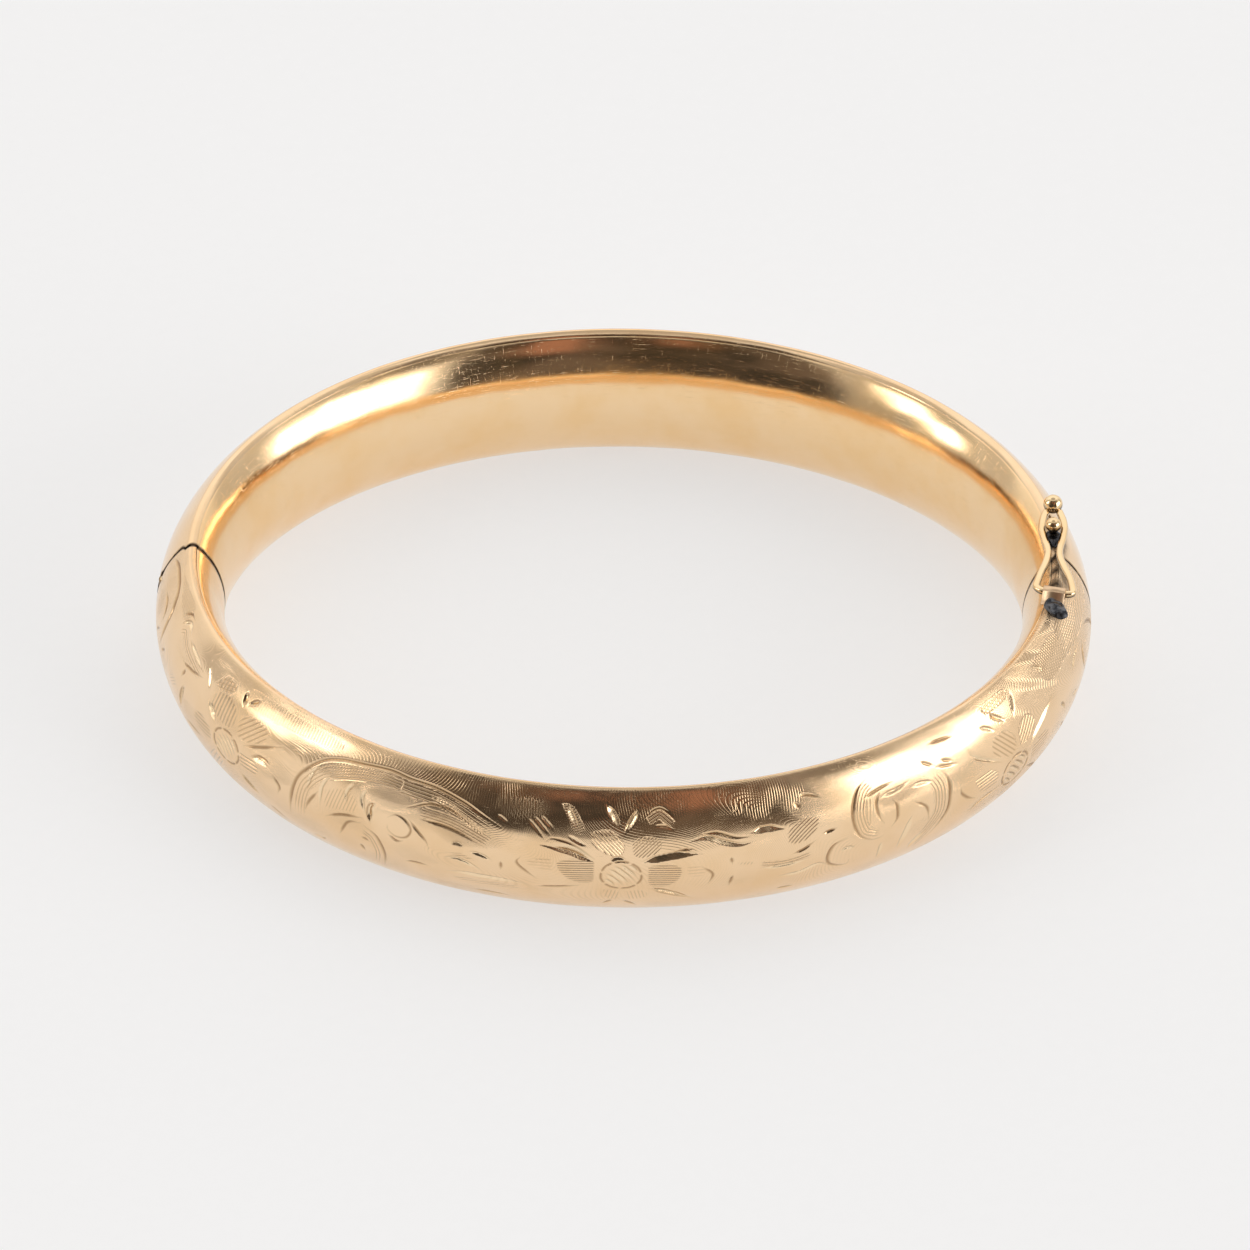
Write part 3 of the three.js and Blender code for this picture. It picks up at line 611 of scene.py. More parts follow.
def left_flower(e):
    e.disc(-29.6, 0.2, EYE_DISC, [(-0.8, 0.9, 0.15), (-0.5, 1.5, 0.18), (-0.2, 1.9, 0.22), (0.12, 1.9, 0.22),
                                  (0.42, 1.6, 0.2), (0.75, 0.9, 0.15)])
    e.cut([(-33.45, 4.6), (-32.8, 3.8), (-32.3, 2.9)], 0.16, lean=1, slope=0.5)
    e.cut([(-32.2, 2.6), (-31.6, 2.0), (-30.9, 1.3)], 0.42, lean=1, slope=0.5)
    e.cuts([(-29.1, 5.25), (-28.9, 4)], [(-27.75, 5.25), (-28.6, 4.35)], width=0.28, lean=-1, slope=0.5)
    e.hatching([(-31.9, 2.2), (-31.6, 3.7), (-30.2, 4.1), (-29.1, 3.4), (-29.2, 2.0), (-30.2, 1.7)], 84, 0.26)
    e.hatching([(-28.8, 1.8), (-28.7, 3.4), (-27.4, 4.0), (-26.0, 3.6), (-26.4, 2.5), (-27.7, 1.8)], 48, 0.26)
    e.crosshatch([(-32.2, 4.0), (-31.4, 5.1), (-30.1, 5.0), (-30.4, 4.1), (-31.4, 3.8)], 20, 0.26)
    e.cuts([(-27.9, 1.45), (-26.5, 2.2), (-24.7, 3.25)], [(-26.85, 1.3), (-26.2, 1.5), (-25.1, 1.5)],
           [(-25, 0.7), (-24.4, 0), (-24.55, -0.7)], [(-25.8, -2.9), (-24.4, -3.9)],
           [(-21.2, 1.4), (-21.9, 0.1), (-22.2, -0.85)], [(-21.5, -3.9), (-21.1, -3.6)], width=0.17)
    e.cut([(-27.2, 1.0), (-26.0, 1.1), (-25.2, 0.9)], 0.34, lean=1)
    e.hatching([(-28.2, 0.9), (-26.9, 1.0), (-26.2, 0.4), (-26.6, -0.4), (-28.1, -0.4)], 3, 0.26)
    e.cut([(-28.15, -1.2), (-27.3, -1.8), (-26.4, -2.35)], 0.34, lean=-1)
    e.hatching([(-31.2, -1.2), (-30.2, -1.7), (-30.8, -3.3), (-32.1, -3.0), (-32.2, -1.9)], 55, 0.28)
    e.hatching([(-28.8, 4.3), (-20.4, 4.9), (-20.6, 5.7), (-24.0, 5.9), (-28.8, 5.7)], 88, 0.19, 0.4)
    e.hatching([(-31.4, 0.6), (-32.9, 1.0), (-33.6, 0.2), (-32.6, -0.8), (-31.3, -0.5)], 4, 0.26)


def left_end(e):
    curve = [(-44.75, 4.8), (-43.9, 5.15), (-43.2, 5.25), (-42.1, 5.15), (-41.3, 4.8), (-40.8, 4.3),
             (-40.4, 3.5), (-40.4, 2.2), (-40.6, 1), (-41, 0.1)]
    e.cut(curve, 0.24, taper=(0.1, 0.3))
    e.cuts([(-42.7, 3.55), (-42, 3.45), (-41.5, 3.1), (-41.3, 2.5), (-41.35, 1.95)],
           [(-41.4, 1.3), (-42.25, 0.55), (-42.7, 0)], [(-39.35, 1.15), (-40.2, 0.4)],
           [(-38.9, 4.9), (-38.3, 5.45), (-37.5, 5.5)], [(-36.3, 2.75), (-34.9, 2.95), (-33.5, 3.4)],
           [(-35.6, 2.5), (-35.9, 1.7)], [(-35.2, -1.65), (-33.5, -1.45), (-32.7, -1.4)], width=0.18)
    e.crosshatch([(-43.2, 5.9), (-38.4, 6.1), (-38.4, 4.6), (-40.2, 4.9), (-41.4, 5.4)], 60, 0.2, 0.6)
    e.cuts([(-38.5, 4.3), (-37.7, 5), (-36.8, 4.55)], [(-36.6, 4.4), (-35.4, 4.1), (-33.6, 3.75)],
           width=0.26, lean=1)
    e.echo([(-38.5, 4.3), (-37.7, 4.8), (-36.8, 4.4), (-36, 4.1), (-33.6, 3.65)], -0.2, -0.8, 0.18)
    e.cut([(-35.2, 1.45), (-35.6, 0), (-35.8, -1.25)], 0.32, lean=-1)
    e.hatching([(-37.9, 0.7), (-36.8, 0.8), (-36.6, 0.0), (-37.7, -0.2)], 40, 0.18, 0.8)
    e.hatching([(-43.6, 3.0), (-42.8, 3.3), (-42.0, 2.4), (-42.6, 1.2), (-43.5, 1.6)], 60, 0.2, 0.7)


# ---- Materials --------------------------------------------------------------------------------

class Nodes:
    """A short way to lay out a procedural material."""

    def __init__(self, tree):
        self.tree = tree

    def put(self, socket, value):
        """Link a socket, or set it to a plain value."""
        if isinstance(value, bpy.types.NodeSocket):
            self.tree.links.new(value, socket)
        else:
            socket.default_value = value

    def add(self, kind, **inputs):
        node = self.tree.nodes.new(kind)
        for name, value in inputs.items():
            self.put(node.inputs[name.replace("_", " ").title()], value)
        return node

    def math(self, operation, *values, clamp=False):
        node = self.tree.nodes.new("ShaderNodeMath")
        node.operation = operation
        node.use_clamp = clamp
        for socket, value in zip(node.inputs, values):
            self.put(socket, value)
        return node.outputs[0]

    def ramp(self, value, low, high, to_low=0.0, to_high=1.0):
        node = self.tree.nodes.new("ShaderNodeMapRange")
        node.interpolation_type = "SMOOTHSTEP"
        for socket, setting in zip(node.inputs, (value, low, high, to_low, to_high)):
            self.put(socket, setting)
        return node.outputs[0]

    def mix(self, share, a, b):
        node = self.tree.nodes.new("ShaderNodeMix")
        node.data_type = "RGBA"
        for name, value in (("Factor_Float", share), ("A_Color", a), ("B_Color", b)):
            self.put(next(i for i in node.inputs if i.identifier == name), value)
        return next(o for o in node.outputs if o.identifier == "Result_Color")

    def noise(self, vector, scale, detail=3.0, roughness=0.55):
        node = self.add("ShaderNodeTexNoise", vector=vector, scale=scale, detail=detail, roughness=roughness)
        return node.outputs[0]

    def stretched(self, vector, scale):
        return self.add("ShaderNodeMapping", vector=vector, scale=scale).outputs[0]

    def place(self, output="Object"):
        return self.tree.nodes.new("ShaderNodeTexCoord").outputs[output]

    def split(self, vector):
        return self.add("ShaderNodeSeparateXYZ", vector=vector).outputs

    def attribute(self, name, output="Fac"):
        node = self.tree.nodes.new("ShaderNodeAttribute")
        node.attribute_name = name
        return node.outputs[output]

    def bump(self, height, strength, distance):
        return self.add("ShaderNodeBump", height=height, strength=strength, distance=distance * MM).outputs[0]


def new_material(name):
    material = bpy.data.materials.new(name)
    material.use_nodes = True
    n = Nodes(material.node_tree)
    return material, n, n.tree.nodes["Principled BSDF"].inputs


# Near black for painted shade, and for the soot by the solder.
SOOT_AND_SHADE_TONE = (0.030, 0.021, 0.014, 1.0)
# Dark brown for the painted shade in the fine ruled lines.
RULED_SHADE_TONE = (0.42, 0.25, 0.11, 1.0)
# Dark brown for the painted shade and tarnish in the engraved grooves.
GROOVE_SHADE_AND_TARNISH_TONE = (0.30, 0.165, 0.065, 1.0)
# Light gold for the painted highlight on cut facets.
FACET_HIGHLIGHT_TONE = (0.97, 0.80, 0.54, 1.0)
RULED_HEIGHT = 5.0


def ruling(n):
    """Fine graver lines from the two hatching layers, whose attributes hold (phase, strength, 0)."""
    layers = []
    for name in ("ruled", "crossed"):
        phase, strength, _ = n.split(n.attribute(name, "Vector"))
        wave = n.math("SINE", n.math("MULTIPLY", phase, 2 * math.pi))
        layers.append(n.math("MULTIPLY", n.ramp(wave, -0.1, 0.95), strength))
    return n.math("MAXIMUM", *layers)


def gold(name, color, deep, roughness, scratches=0.5, engraved=False):
    """Polished gold with rubbed patches, hairline scratches along the band, and darkening that is painted
    shade with some real soot.

    Noise scales are per metre for patches and grain, and per millimetre along and round the band.
    """
    material, n, shader = new_material(name)
    shader["Metallic"].default_value = 1.0
    patches = n.noise(n.place(), 180.0, 4.0)
    grain = n.noise(n.place(), 2600.0, 3.0)
    band = n.attribute("along", "Vector")
    hairs = n.noise(n.stretched(band, (0.5, 26.0, 1.0)), 1.0, 6.0, 0.75)
    rubs = n.noise(n.stretched(band, (9.0, 1.1, 1.0)), 1.0, 5.0, 0.7)
    hair_lines = n.ramp(hairs, 0.60, 0.68)
    rub_lines = n.ramp(rubs, 0.62, 0.70)
    # Painted shade, with some real soot, from the soot attribute; its edge is made grainy.
    soot_and_shade = n.attribute("soot_and_shade")
    soot_and_shade_edge = n.math("MULTIPLY", soot_and_shade, n.ramp(grain, 0.25, 0.7, 0.8, 1.35), clamp=True)
    tone = n.mix(n.ramp(patches, 0.35, 0.75), color, deep)
    tone = n.mix(soot_and_shade_edge, tone, SOOT_AND_SHADE_TONE)
    rough = n.math("ADD", roughness, n.ramp(patches, 0.3, 0.8, -0.03, 0.07))
    rough = n.math("ADD", rough, n.math("MULTIPLY", hair_lines, 0.10 * scratches))
    rough = n.math("ADD", rough, n.math("MULTIPLY", soot_and_shade, 0.3))
    height = n.math("MULTIPLY", n.math("ADD", hair_lines, rub_lines), -0.5 * scratches)
    height = n.math("ADD", height, n.math("MULTIPLY", grain, 0.25))
    if engraved:
        ruled = ruling(n)
        height = n.math("SUBTRACT", height, n.math("MULTIPLY", ruled, RULED_HEIGHT))
        # Painted shade in the fine ruled lines.
        tone = n.mix(n.math("MULTIPLY", ruled, 0.5), tone, RULED_SHADE_TONE)
        # Painted shade and tarnish in the engraved grooves.
        tone = n.mix(n.math("MULTIPLY", n.attribute("line"), 0.75), tone, GROOVE_SHADE_AND_TARNISH_TONE)
        # Painted highlight on the flat facets of the leaning cuts.
        tone = n.mix(n.math("MULTIPLY", n.attribute("cut"), 0.4), tone, FACET_HIGHLIGHT_TONE)
    n.put(shader["Normal"], n.bump(height, 0.55, 0.012))
    n.put(shader["Base Color"], tone)
    n.put(shader["Roughness"], rough)
    return material


def blackened_solder(name):
    """Blackened, half-melted solder, duller on its lumps."""
    material, n, shader = new_material(name)
    shader["Metallic"].default_value = 0.85
    lumps = n.noise(n.place(), 2400.0, 4.0)
    fine = n.noise(n.place(), 9000.0, 3.0)
    tone = n.mix(n.ramp(lumps, 0.4, 0.7), (0.03, 0.032, 0.038, 1), (0.16, 0.165, 0.18, 1))
    n.put(shader["Base Color"], tone)
    n.put(shader["Roughness"], n.ramp(lumps, 0.35, 0.7, 0.16, 0.45))
    n.put(shader["Normal"], n.bump(fine, 0.8, 0.03))
    return material


OUTER = gold("outer_gold", (0.93, 0.68, 0.43, 1), (0.89, 0.62, 0.36, 1), 0.13, 0.8)
ENGRAVED = gold("engraved_gold", (0.93, 0.68, 0.43, 1), (0.88, 0.61, 0.35, 1), 0.15, 0.6, engraved=True)
LINER = gold("liner_gold", (0.96, 0.70, 0.42, 1), (0.94, 0.64, 0.33, 1), 0.14, 1.2)
WIRE = gold("wire_gold", (0.93, 0.70, 0.42, 1), (0.86, 0.60, 0.31, 1), 0.06, 0.2)
STRAP = gold("strap_gold", (0.74, 0.53, 0.34, 1), (0.58, 0.38, 0.21, 1), 0.30, 0.5)
# The end plates and knuckles sit recessed in the joints; their dark gold is painted shade.
SHADED_PLATE = gold("plate_gold", (0.30, 0.20, 0.10, 1), (0.20, 0.13, 0.06, 1), 0.38, 0.3)
SPRING = gold("tongue_spring", (0.55, 0.37, 0.18, 1), (0.45, 0.29, 0.13, 1), 0.30, 0.3)
SOLDER = blackened_solder("solder")


# ---- The safety catch's places ----------------------------------------------------------------
# In the catch's own frame: its bar's middle is the origin, and +Y runs along the loop towards its tip.

catch_at = Vector(joints["safety_swing"]["pos_m"]) / MM
bar_axis = Vector(joints["safety_swing"]["axis"])
BAR_TURN = math.radians(-12)
catch_turn = math.atan2(bar_axis.y, bar_axis.x) - BAR_TURN


def from_catch(points):
    """Points in the catch's own frame, set in the band's frame."""
    points = np.asarray(points, float)
    c, s = math.cos(catch_turn), math.sin(catch_turn)
    x = c * points[..., 0] - s * points[..., 1] + catch_at.x
    y = s * points[..., 0] + c * points[..., 1] + catch_at.y
    return np.stack([x, y, points[..., 2] + catch_at.z], -1)


WIRE_RADIUS = 0.27
LOOP_HALF = [
    (0.46, 9.05), (0.7, 8.25), (0.81, 7.2), (0.66, 6.1), (0.44, 4.9), (0.44, 4.1), (0.66, 3.1), (1.0, 2.0),
    (1.24, 0.95),
]
BAR_HALF = 0.92
CORNER_REACH = 1.27
CORNER_Y = 0.3
TIP_Y = 9.6
TIP_RISE = 0.4
TIP_RADIUS = 0.69
PEG_Y = 7.2
PEG_HEAD_RADIUS = 0.56
PEG_HEAD_RISE = 0.4
PEG_STEM_RADIUS = 0.28
EYE_WIDTH = 1.6
EYE_RADIUS = 0.42
EYE_STRIP = 0.1
EYE_FOOT = 1.15
SEAT = TOP + 0.05 - catch_at.z
# Where the band is painted dark round the soldered feet and between the loop's wires, soot and painted shade
# together: (x, y, width, strength).
SOOT_AND_SHADE_SPOTS = (
    (0, 7.0, 0.85, 1.0), (0.02, 6.0, 0.70, 1.0), (0, 4.6, 0.52, 0.98), (0.05, 3.2, 0.62, 0.95),
    (0, 1.6, 0.9, 0.9), (-0.1, -1.4, 1.0, 0.8),
)
# Painted shadow on the band under the loop's wires: its strength and its width in millimetres.
WIRE_SHADOW = 0.8
WIRE_SHADOW_WIDTH = 0.36


def loop_points():
    """The loop wire's middle line, from the tip ball down one side, along the bar and up the other."""
    def lift(y):
        return 0.12 * float(smoothstep(y, 7.5, 9))

    left = [(-x, y, lift(y)) for x, y in LOOP_HALF]
    right = [(x, y, lift(y)) for x, y in LOOP_HALF[::-1]]
    slope = math.tan(BAR_TURN)
    corners = [(x, CORNER_Y + x * slope, 0) for x in (-CORNER_REACH, CORNER_REACH)]
    bar = [(x, x * slope, 0) for x in np.linspace(-BAR_HALF, BAR_HALF, 5)]
    return np.array(left + [corners[0]] + bar + [corners[1]] + right)


def soot_and_shade_at(points):
    """How dark the gold is painted: soot and painted shade near the soldered feet and between the wires,
    painted shadow under the loop's wires.
    """
    soot_and_shade = np.zeros(points.shape[:-1])
    for x, y, width, strength in SOOT_AND_SHADE_SPOTS:
        spot = from_catch((x, y, 0))
        gap = np.hypot(points[..., 0] - spot[0], points[..., 1] - spot[1])
        soot_and_shade = np.maximum(soot_and_shade, strength * np.exp(-((gap / width) ** 2) * 1.5))
    near = (points[..., 2] > TOP - 1.2) & (points[..., 0] > catch_at.x - 4) & (np.abs(points[..., 1]) < 9)
    if near.any():
        # Painted shadow along the wire's path, a dark outline beside each wire.
        wire = from_catch(spline(loop_points(), 0.15))
        gaps = points[near][:, None, :2] - wire[None, :, :2]
        gap = np.hypot(gaps[..., 0], gaps[..., 1]).min(axis=1)
        soot_and_shade[near] = np.maximum(soot_and_shade[near], WIRE_SHADOW * np.exp(-((gap / WIRE_SHADOW_WIDTH) ** 2)))
    return soot_and_shade * smoothstep(points[..., 2], TOP - 1.2, TOP - 0.3)


# ---- The four sheets of the band --------------------------------------------------------------

RIPPLE = 0.006
# Painted shade: the cut ends of each sheet and its whole back are darkened, as if in the shade of the joint
# gaps and the hollow band.
END_SHADE = 0.9
BACK_SHADE = 0.95
FRONT_STATION = 0.07
PLAIN_STATION = 0.25
SEAM_TRAVEL = 2.6  # about how far round the section one radian of section angle is, at the seam
FINE_ROWS = 0.068
CREST_ROWS = 0.2
PLAIN_ROWS = 0.17
BACK_ROWS = 0.6
ENGRAVED_FROM = 2.2
ENGRAVED_TO = 13.6


def ripple(turns, rows):
    """The slight hand-polished unevenness of thin sheet."""
    up = rows[None, :]
    waves = np.sin(turns * 23 + up * 0.9) * 0.5 + np.sin(turns * 41 - up * 1.7 + 1.3) * 0.3
    return RIPPLE * (waves + np.sin(turns * 67 + up * 2.3 + 2.1) * 0.2)


def rolled(line, side, lip=LIP):
    """The section line with its two edges turned in by a small lip; side 1 turns to the line's left."""
    angles = np.radians([0, 30, 60, 90])[:, None]
    ends = []
    for way, edge, near in ((-1, line[0], line[1]), (1, line[-1], line[-2])):
        out = (edge - near) / np.linalg.norm(edge - near)
        turn_in = np.array([-out[1], out[0]]) * side * way
        corner = edge - lip * out
        ends.append(corner + lip * np.sin(angles) * out + lip * (1 - np.cos(angles)) * turn_in)
    reach = np.minimum(*(np.linalg.norm(line - edge, axis=1) for edge in (line[0], line[-1])))
    return np.vstack([ends[0][::-1], line[reach > lip * 1.2], ends[1]])


def shell_line(inset, spacing):
    """The shell's section: up the outer curve and over both crests to the seams."""
    line = np.vstack([
        inner_run(-SEAM_ANGLE, -math.pi / 2, 80, inset)[:-1],
        outer_run(-math.pi / 2, math.pi / 2, 400, inset),
        inner_run(math.pi / 2, SEAM_ANGLE, 80, inset)[1:],
    ])
    return respaced(line, spacing)


def liner_line(inset, spacing, gap=SEAM_GAP):
    """The liner's section: the inner curve between the two seams."""
    edge = SEAM_ANGLE - gap / SEAM_TRAVEL
    return respaced(inner_run(-edge, edge, 400, inset), spacing)


def heights_along(line):
    """Length round the section from mid-height, up being positive."""
    along = arc_lengths(line)
    middle = np.argmax(np.abs(line[:, 0]))
    near = slice(middle - 3, middle + 4)
    return along - np.interp(HALF_HEIGHT, line[near, 1], along[near])


def band_piece(name, line, back, side, facing, spacing, material, node, motifs=()):
    """One closed sheet of the band. facing is 1 where its face looks away from the middle of the ring."""
    turns, s = band_grid(line, side, spacing)
    v = heights_along(line)
    points = place(line, turns)
    normal = grid_normals(points)
    away = np.stack([points[..., 0] / CREST_X**2, points[..., 1] / CREST_Y**2], -1)
    middle = len(v) // 2
    if facing * np.sum(normal[:, middle, :2] * away[:, middle]) < 0:
        normal = -normal
    to_end = np.minimum(s - s[0], s[-1] - s)[:, None]
    depth = ripple(turns, v)
    if motifs:
        carved = Engraving(s, v * CREST_LENGTH / v[np.argmax(line[:, 1])])
        carved.ground()
        for motif in motifs:
            motif(carved)
        depth = depth + carved.depth * smoothstep(to_end, 0.05, 0.4)
    points = points - normal * depth[..., None]
    mesh = sheet_mesh(name, points, place(back, band_grid(back, side, spacing)[0]))
    face = turns.size

    def store(label, values, behind=0.0):
        """A number at each point of the face, and one value all over the back."""
        full = np.full(len(mesh.vertices), behind, np.float32)
        full[:face] = values.ravel()
        mesh.attributes.new(label, "FLOAT", "POINT").data.foreach_set("value", full)

    def store_pair(label, first, second):
        full = np.zeros((len(mesh.vertices), 3), np.float32)
        full[:face, 0] = first.ravel()
        full[:face, 1] = second.ravel()
        mesh.attributes.new(label, "FLOAT_VECTOR", "POINT").data.foreach_set("vector", full.ravel())

    store_pair("along", np.broadcast_to(s[:, None], turns.shape), np.broadcast_to(v[None], turns.shape))
    # Painted shade at the cut ends and over the back, joined with the soot and shadow round the catch.
    store("soot_and_shade", np.maximum(soot_and_shade_at(points), END_SHADE * (1 - smoothstep(to_end, 0.02, 0.09))), BACK_SHADE)
    if motifs:
        # cut holds the facets' painted highlight; line holds the grooves' painted shade and tarnish.
        store("cut", carved.facet)
        store("line", carved.line)
        store_pair("ruled", carved.hatch[..., 0], carved.hatch[..., 1])
        store_pair("crossed", carved.hatch[..., 2], carved.hatch[..., 3])
    if Vector(normal[0, middle]).dot(mesh.polygons[middle].normal) < 0:
        mesh.flip_normals()
    body = "rear_half" if side > 0 else "front_half"
    return finish_mesh(mesh, name, material, body, [node])


def fine_rows(length):
    """Close rows over the outer curve, where the engraving is, and wide ones over the crests."""
    return FINE_ROWS if ENGRAVED_FROM < length < ENGRAVED_TO else CREST_ROWS


def plain_rows(_):
    return PLAIN_ROWS


def back_rows(_):
    return BACK_ROWS


MOTIFS = (left_end, left_flower, left_scroll, centre_flower, right_scroll, right_flower, right_end)
shell_back = shell_line(SHEET, back_rows)
liner_back = liner_line(SHEET, back_rows)
front_shell = rolled(shell_line(0, fine_rows), 1)
rear_shell = rolled(shell_line(0, plain_rows), 1, REAR_LIP)
front_liner = rolled(liner_line(0, plain_rows), -1)
rear_liner = rolled(liner_line(0, plain_rows, REAR_SEAM_GAP), -1, REAR_LIP)
band_piece("front_band_engraved", front_shell, shell_back, -1, 1, FRONT_STATION,
           ENGRAVED, "front_outer_shell", MOTIFS)
band_piece("rear_band_plain", rear_shell, shell_back, 1, 1, PLAIN_STATION,
           OUTER, "rear_outer_shell")
band_piece("front_liner_skin", front_liner, liner_back, -1, -1, PLAIN_STATION,
           LINER, "front_inner_liner")
band_piece("rear_liner_skin", rear_liner, liner_back, 1, -1, PLAIN_STATION,
           LINER, "rear_inner_liner")


# ---- The safety catch -------------------------------------------------------------------------

# Painted shade on the downward faces of the wire pieces.
UNDERSIDE_SHADE = 0.8
STRIP_BEVEL = 0.03


def ring_faces(count, sides):
    """Faces of a closed tube of rings of points, with both ends capped."""
    faces = [
        (i * sides + j, (i + 1) * sides + j, (i + 1) * sides + (j + 1) % sides, i * sides + (j + 1) % sides)
        for i in range(count - 1) for j in range(sides)
    ]
    faces.append(tuple(range(sides)))
    faces.append(tuple((count - 1) * sides + j for j in reversed(range(sides))))
    return faces


def closed_piece(name, points, faces, material, body, replaces):
    """A closed piece given in the catch's frame, its faces turned outwards, and on wire gold its underside
    darkened with painted shade.
    """
    piece = add_mesh(name, from_catch(points), faces, material, body, replaces)
    mesh = piece.data
    mesh.calc_loop_triangles()
    co = np.array([v.co for v in mesh.vertices])
    corners = np.array([t.vertices for t in mesh.loop_triangles])
    a, b, c = (co[corners[:, k]] - co[0] for k in range(3))
    if np.sum(a * np.cross(b, c)) < 0:
        mesh.flip_normals()
    if material is WIRE:
        facing_up = np.array([v.normal.z for v in mesh.vertices])
        # Downward faces darkened: painted shade.
        underside_shade = (UNDERSIDE_SHADE * smoothstep(-facing_up, -0.40, 0.25)).astype(np.float32)
        mesh.attributes.new("soot_and_shade", "FLOAT", "POINT").data.foreach_set("value", underside_shade)
    return piece


def bent_wire(path, radius, sides, name, body, node):
    """A round wire along a path, slightly uneven as drawn and bent by hand."""
    ahead = np.gradient(path, axis=0)
    ahead /= np.linalg.norm(ahead, axis=1)[:, None]
    across = np.cross(ahead, (0, 0, 1.0))
    across /= np.linalg.norm(across, axis=1)[:, None]
    up = np.cross(across, ahead)
    angle = np.linspace(0, 2 * math.pi, sides, endpoint=False)
    along = np.linspace(0, 1, len(path))[:, None]
    r = radius * (1 + 0.025 * np.sin(along * 47 + 2 * angle) + 0.02 * np.sin(along * 83 - angle))
    flat = 1 - 0.05 * np.cos(2 * angle)
    wide = (r * flat * np.cos(angle))[..., None] * across[:, None]
    tall = (r / flat * np.sin(angle))[..., None] * up[:, None]
    points = path[:, None] + wide + tall
    faces = ring_faces(len(path), sides)
    return closed_piece(name, points.reshape(-1, 3), faces, WIRE, body, [node])


def turned(profile, sides, shape=None):
    """Points and faces of a profile [(radius, height)] turned about an upright line; the ends lie on it."""
    points = [(0, 0, profile[0][1])]
    for radius, height in profile[1:-1]:
        for k in range(sides):
            a = 2 * math.pi * k / sides
            points.append((radius * math.cos(a), radius * math.sin(a), height))
    points.append((0, 0, profile[-1][1]))
    points = np.array(points, float)
    if shape:
        points = shape(points)
    rings = len(profile) - 2
    faces = [(0, 1 + (k + 1) % sides, 1 + k) for k in range(sides)]
    for i in range(rings - 1):
        for k in range(sides):
            a, b = 1 + i * sides + k, 1 + i * sides + (k + 1) % sides
            faces.append((a, b, b + sides, a + sides))
    last = len(points) - 1
    top = 1 + (rings - 1) * sides
    faces += [(last, top + k, top + (k + 1) % sides) for k in range(sides)]
    return points, faces


bent_wire(spline(loop_points(), 0.08), WIRE_RADIUS, 20, "catch_loop", "safety_catch", "safety_loop_wire")


def ball_shape(points):
    """A ball melted from the wire's ends: a little drawn out where the two wires run in."""
    points = points.copy()
    reach = np.clip(-points[:, 1] / TIP_RADIUS, 0, 1)
    points[:, 0] *= 1 - 0.10 * reach**2
    points[:, 2] *= 1 - 0.12 * reach**2
    points[:, 2] -= 0.08 * reach**2
    return points + (0, TIP_Y, TIP_RISE)


ball_profile = [(TIP_RADIUS * math.sin(a), -TIP_RADIUS * math.cos(a)) for a in np.linspace(0, math.pi, 30)]
points, faces = turned(ball_profile, 44, ball_shape)
closed_piece("catch_tip_ball", points, faces, WIRE, "safety_catch", ["safety_tip_ball"])

neck = math.pi - math.asin(PEG_STEM_RADIUS / PEG_HEAD_RADIUS)
peg_profile = [(0, SEAT), (PEG_STEM_RADIUS, SEAT)]
for a in np.linspace(neck, 0, 22):
    peg_profile.append((PEG_HEAD_RADIUS * math.sin(a), PEG_HEAD_RISE + PEG_HEAD_RADIUS * math.cos(a)))
points, faces = turned(peg_profile, 40, lambda p: p + (0, PEG_Y, 0))
closed_piece("catch_peg", points, faces, WIRE, "rear_half", ["safety_peg"])


def eye_section():
    """The folded strip's middle line: from the foot up over the loop's bar and back underneath."""
    middle = EYE_RADIUS - EYE_STRIP / 2
    foot = SEAT + EYE_STRIP / 2
    line = [(-EYE_FOOT + 0.1, foot), (-0.85, foot + 0.04)]
    for a in np.radians(np.arange(140, -91, -10)):
        line.append((middle * math.cos(a), max(middle * math.sin(a), foot)))
    line.append((-0.3, foot))
    return spline(line, 0.05)


def folded_strip():
    """The strip that the loop's bar turns in, with bevelled edges."""
    line = eye_section()
    ahead = np.gradient(line, axis=0)
    ahead /= np.linalg.norm(ahead, axis=1)[:, None]
    side = np.c_[-ahead[:, 1], ahead[:, 0]]
    half = EYE_STRIP / 2
    edge, inner = 1 - STRIP_BEVEL, half - STRIP_BEVEL
    section = [
        (-half, -edge), (-inner, -1), (inner, -1), (half, -edge),
        (half, edge), (inner, 1), (-inner, 1), (-half, edge),
    ]
    c, s = math.cos(BAR_TURN), math.sin(BAR_TURN)
    points = []
    for (y, z), (ny, nz) in zip(line, side):
        for out, across in section:
            x = across * EYE_WIDTH / 2
            py = y + ny * out
            points.append((c * x - s * py, s * x + c * py, z + nz * out))
    faces = ring_faces(len(line), len(section))
    closed_piece("catch_eye_strip", np.array(points), faces, STRAP, "front_half", ["catch_eye"])


folded_strip()


def lumps(points, seed, size):
    """A smooth random swell, the same on every run."""
    random = np.random.default_rng(seed)
    swell = np.zeros(len(points))
    for _ in range(9):
        way = random.normal(size=3)
        way /= np.linalg.norm(way)
        swell += np.sin(points @ way * random.uniform(4, 11) + random.uniform(0, 6.3))
    return swell / 9 * size


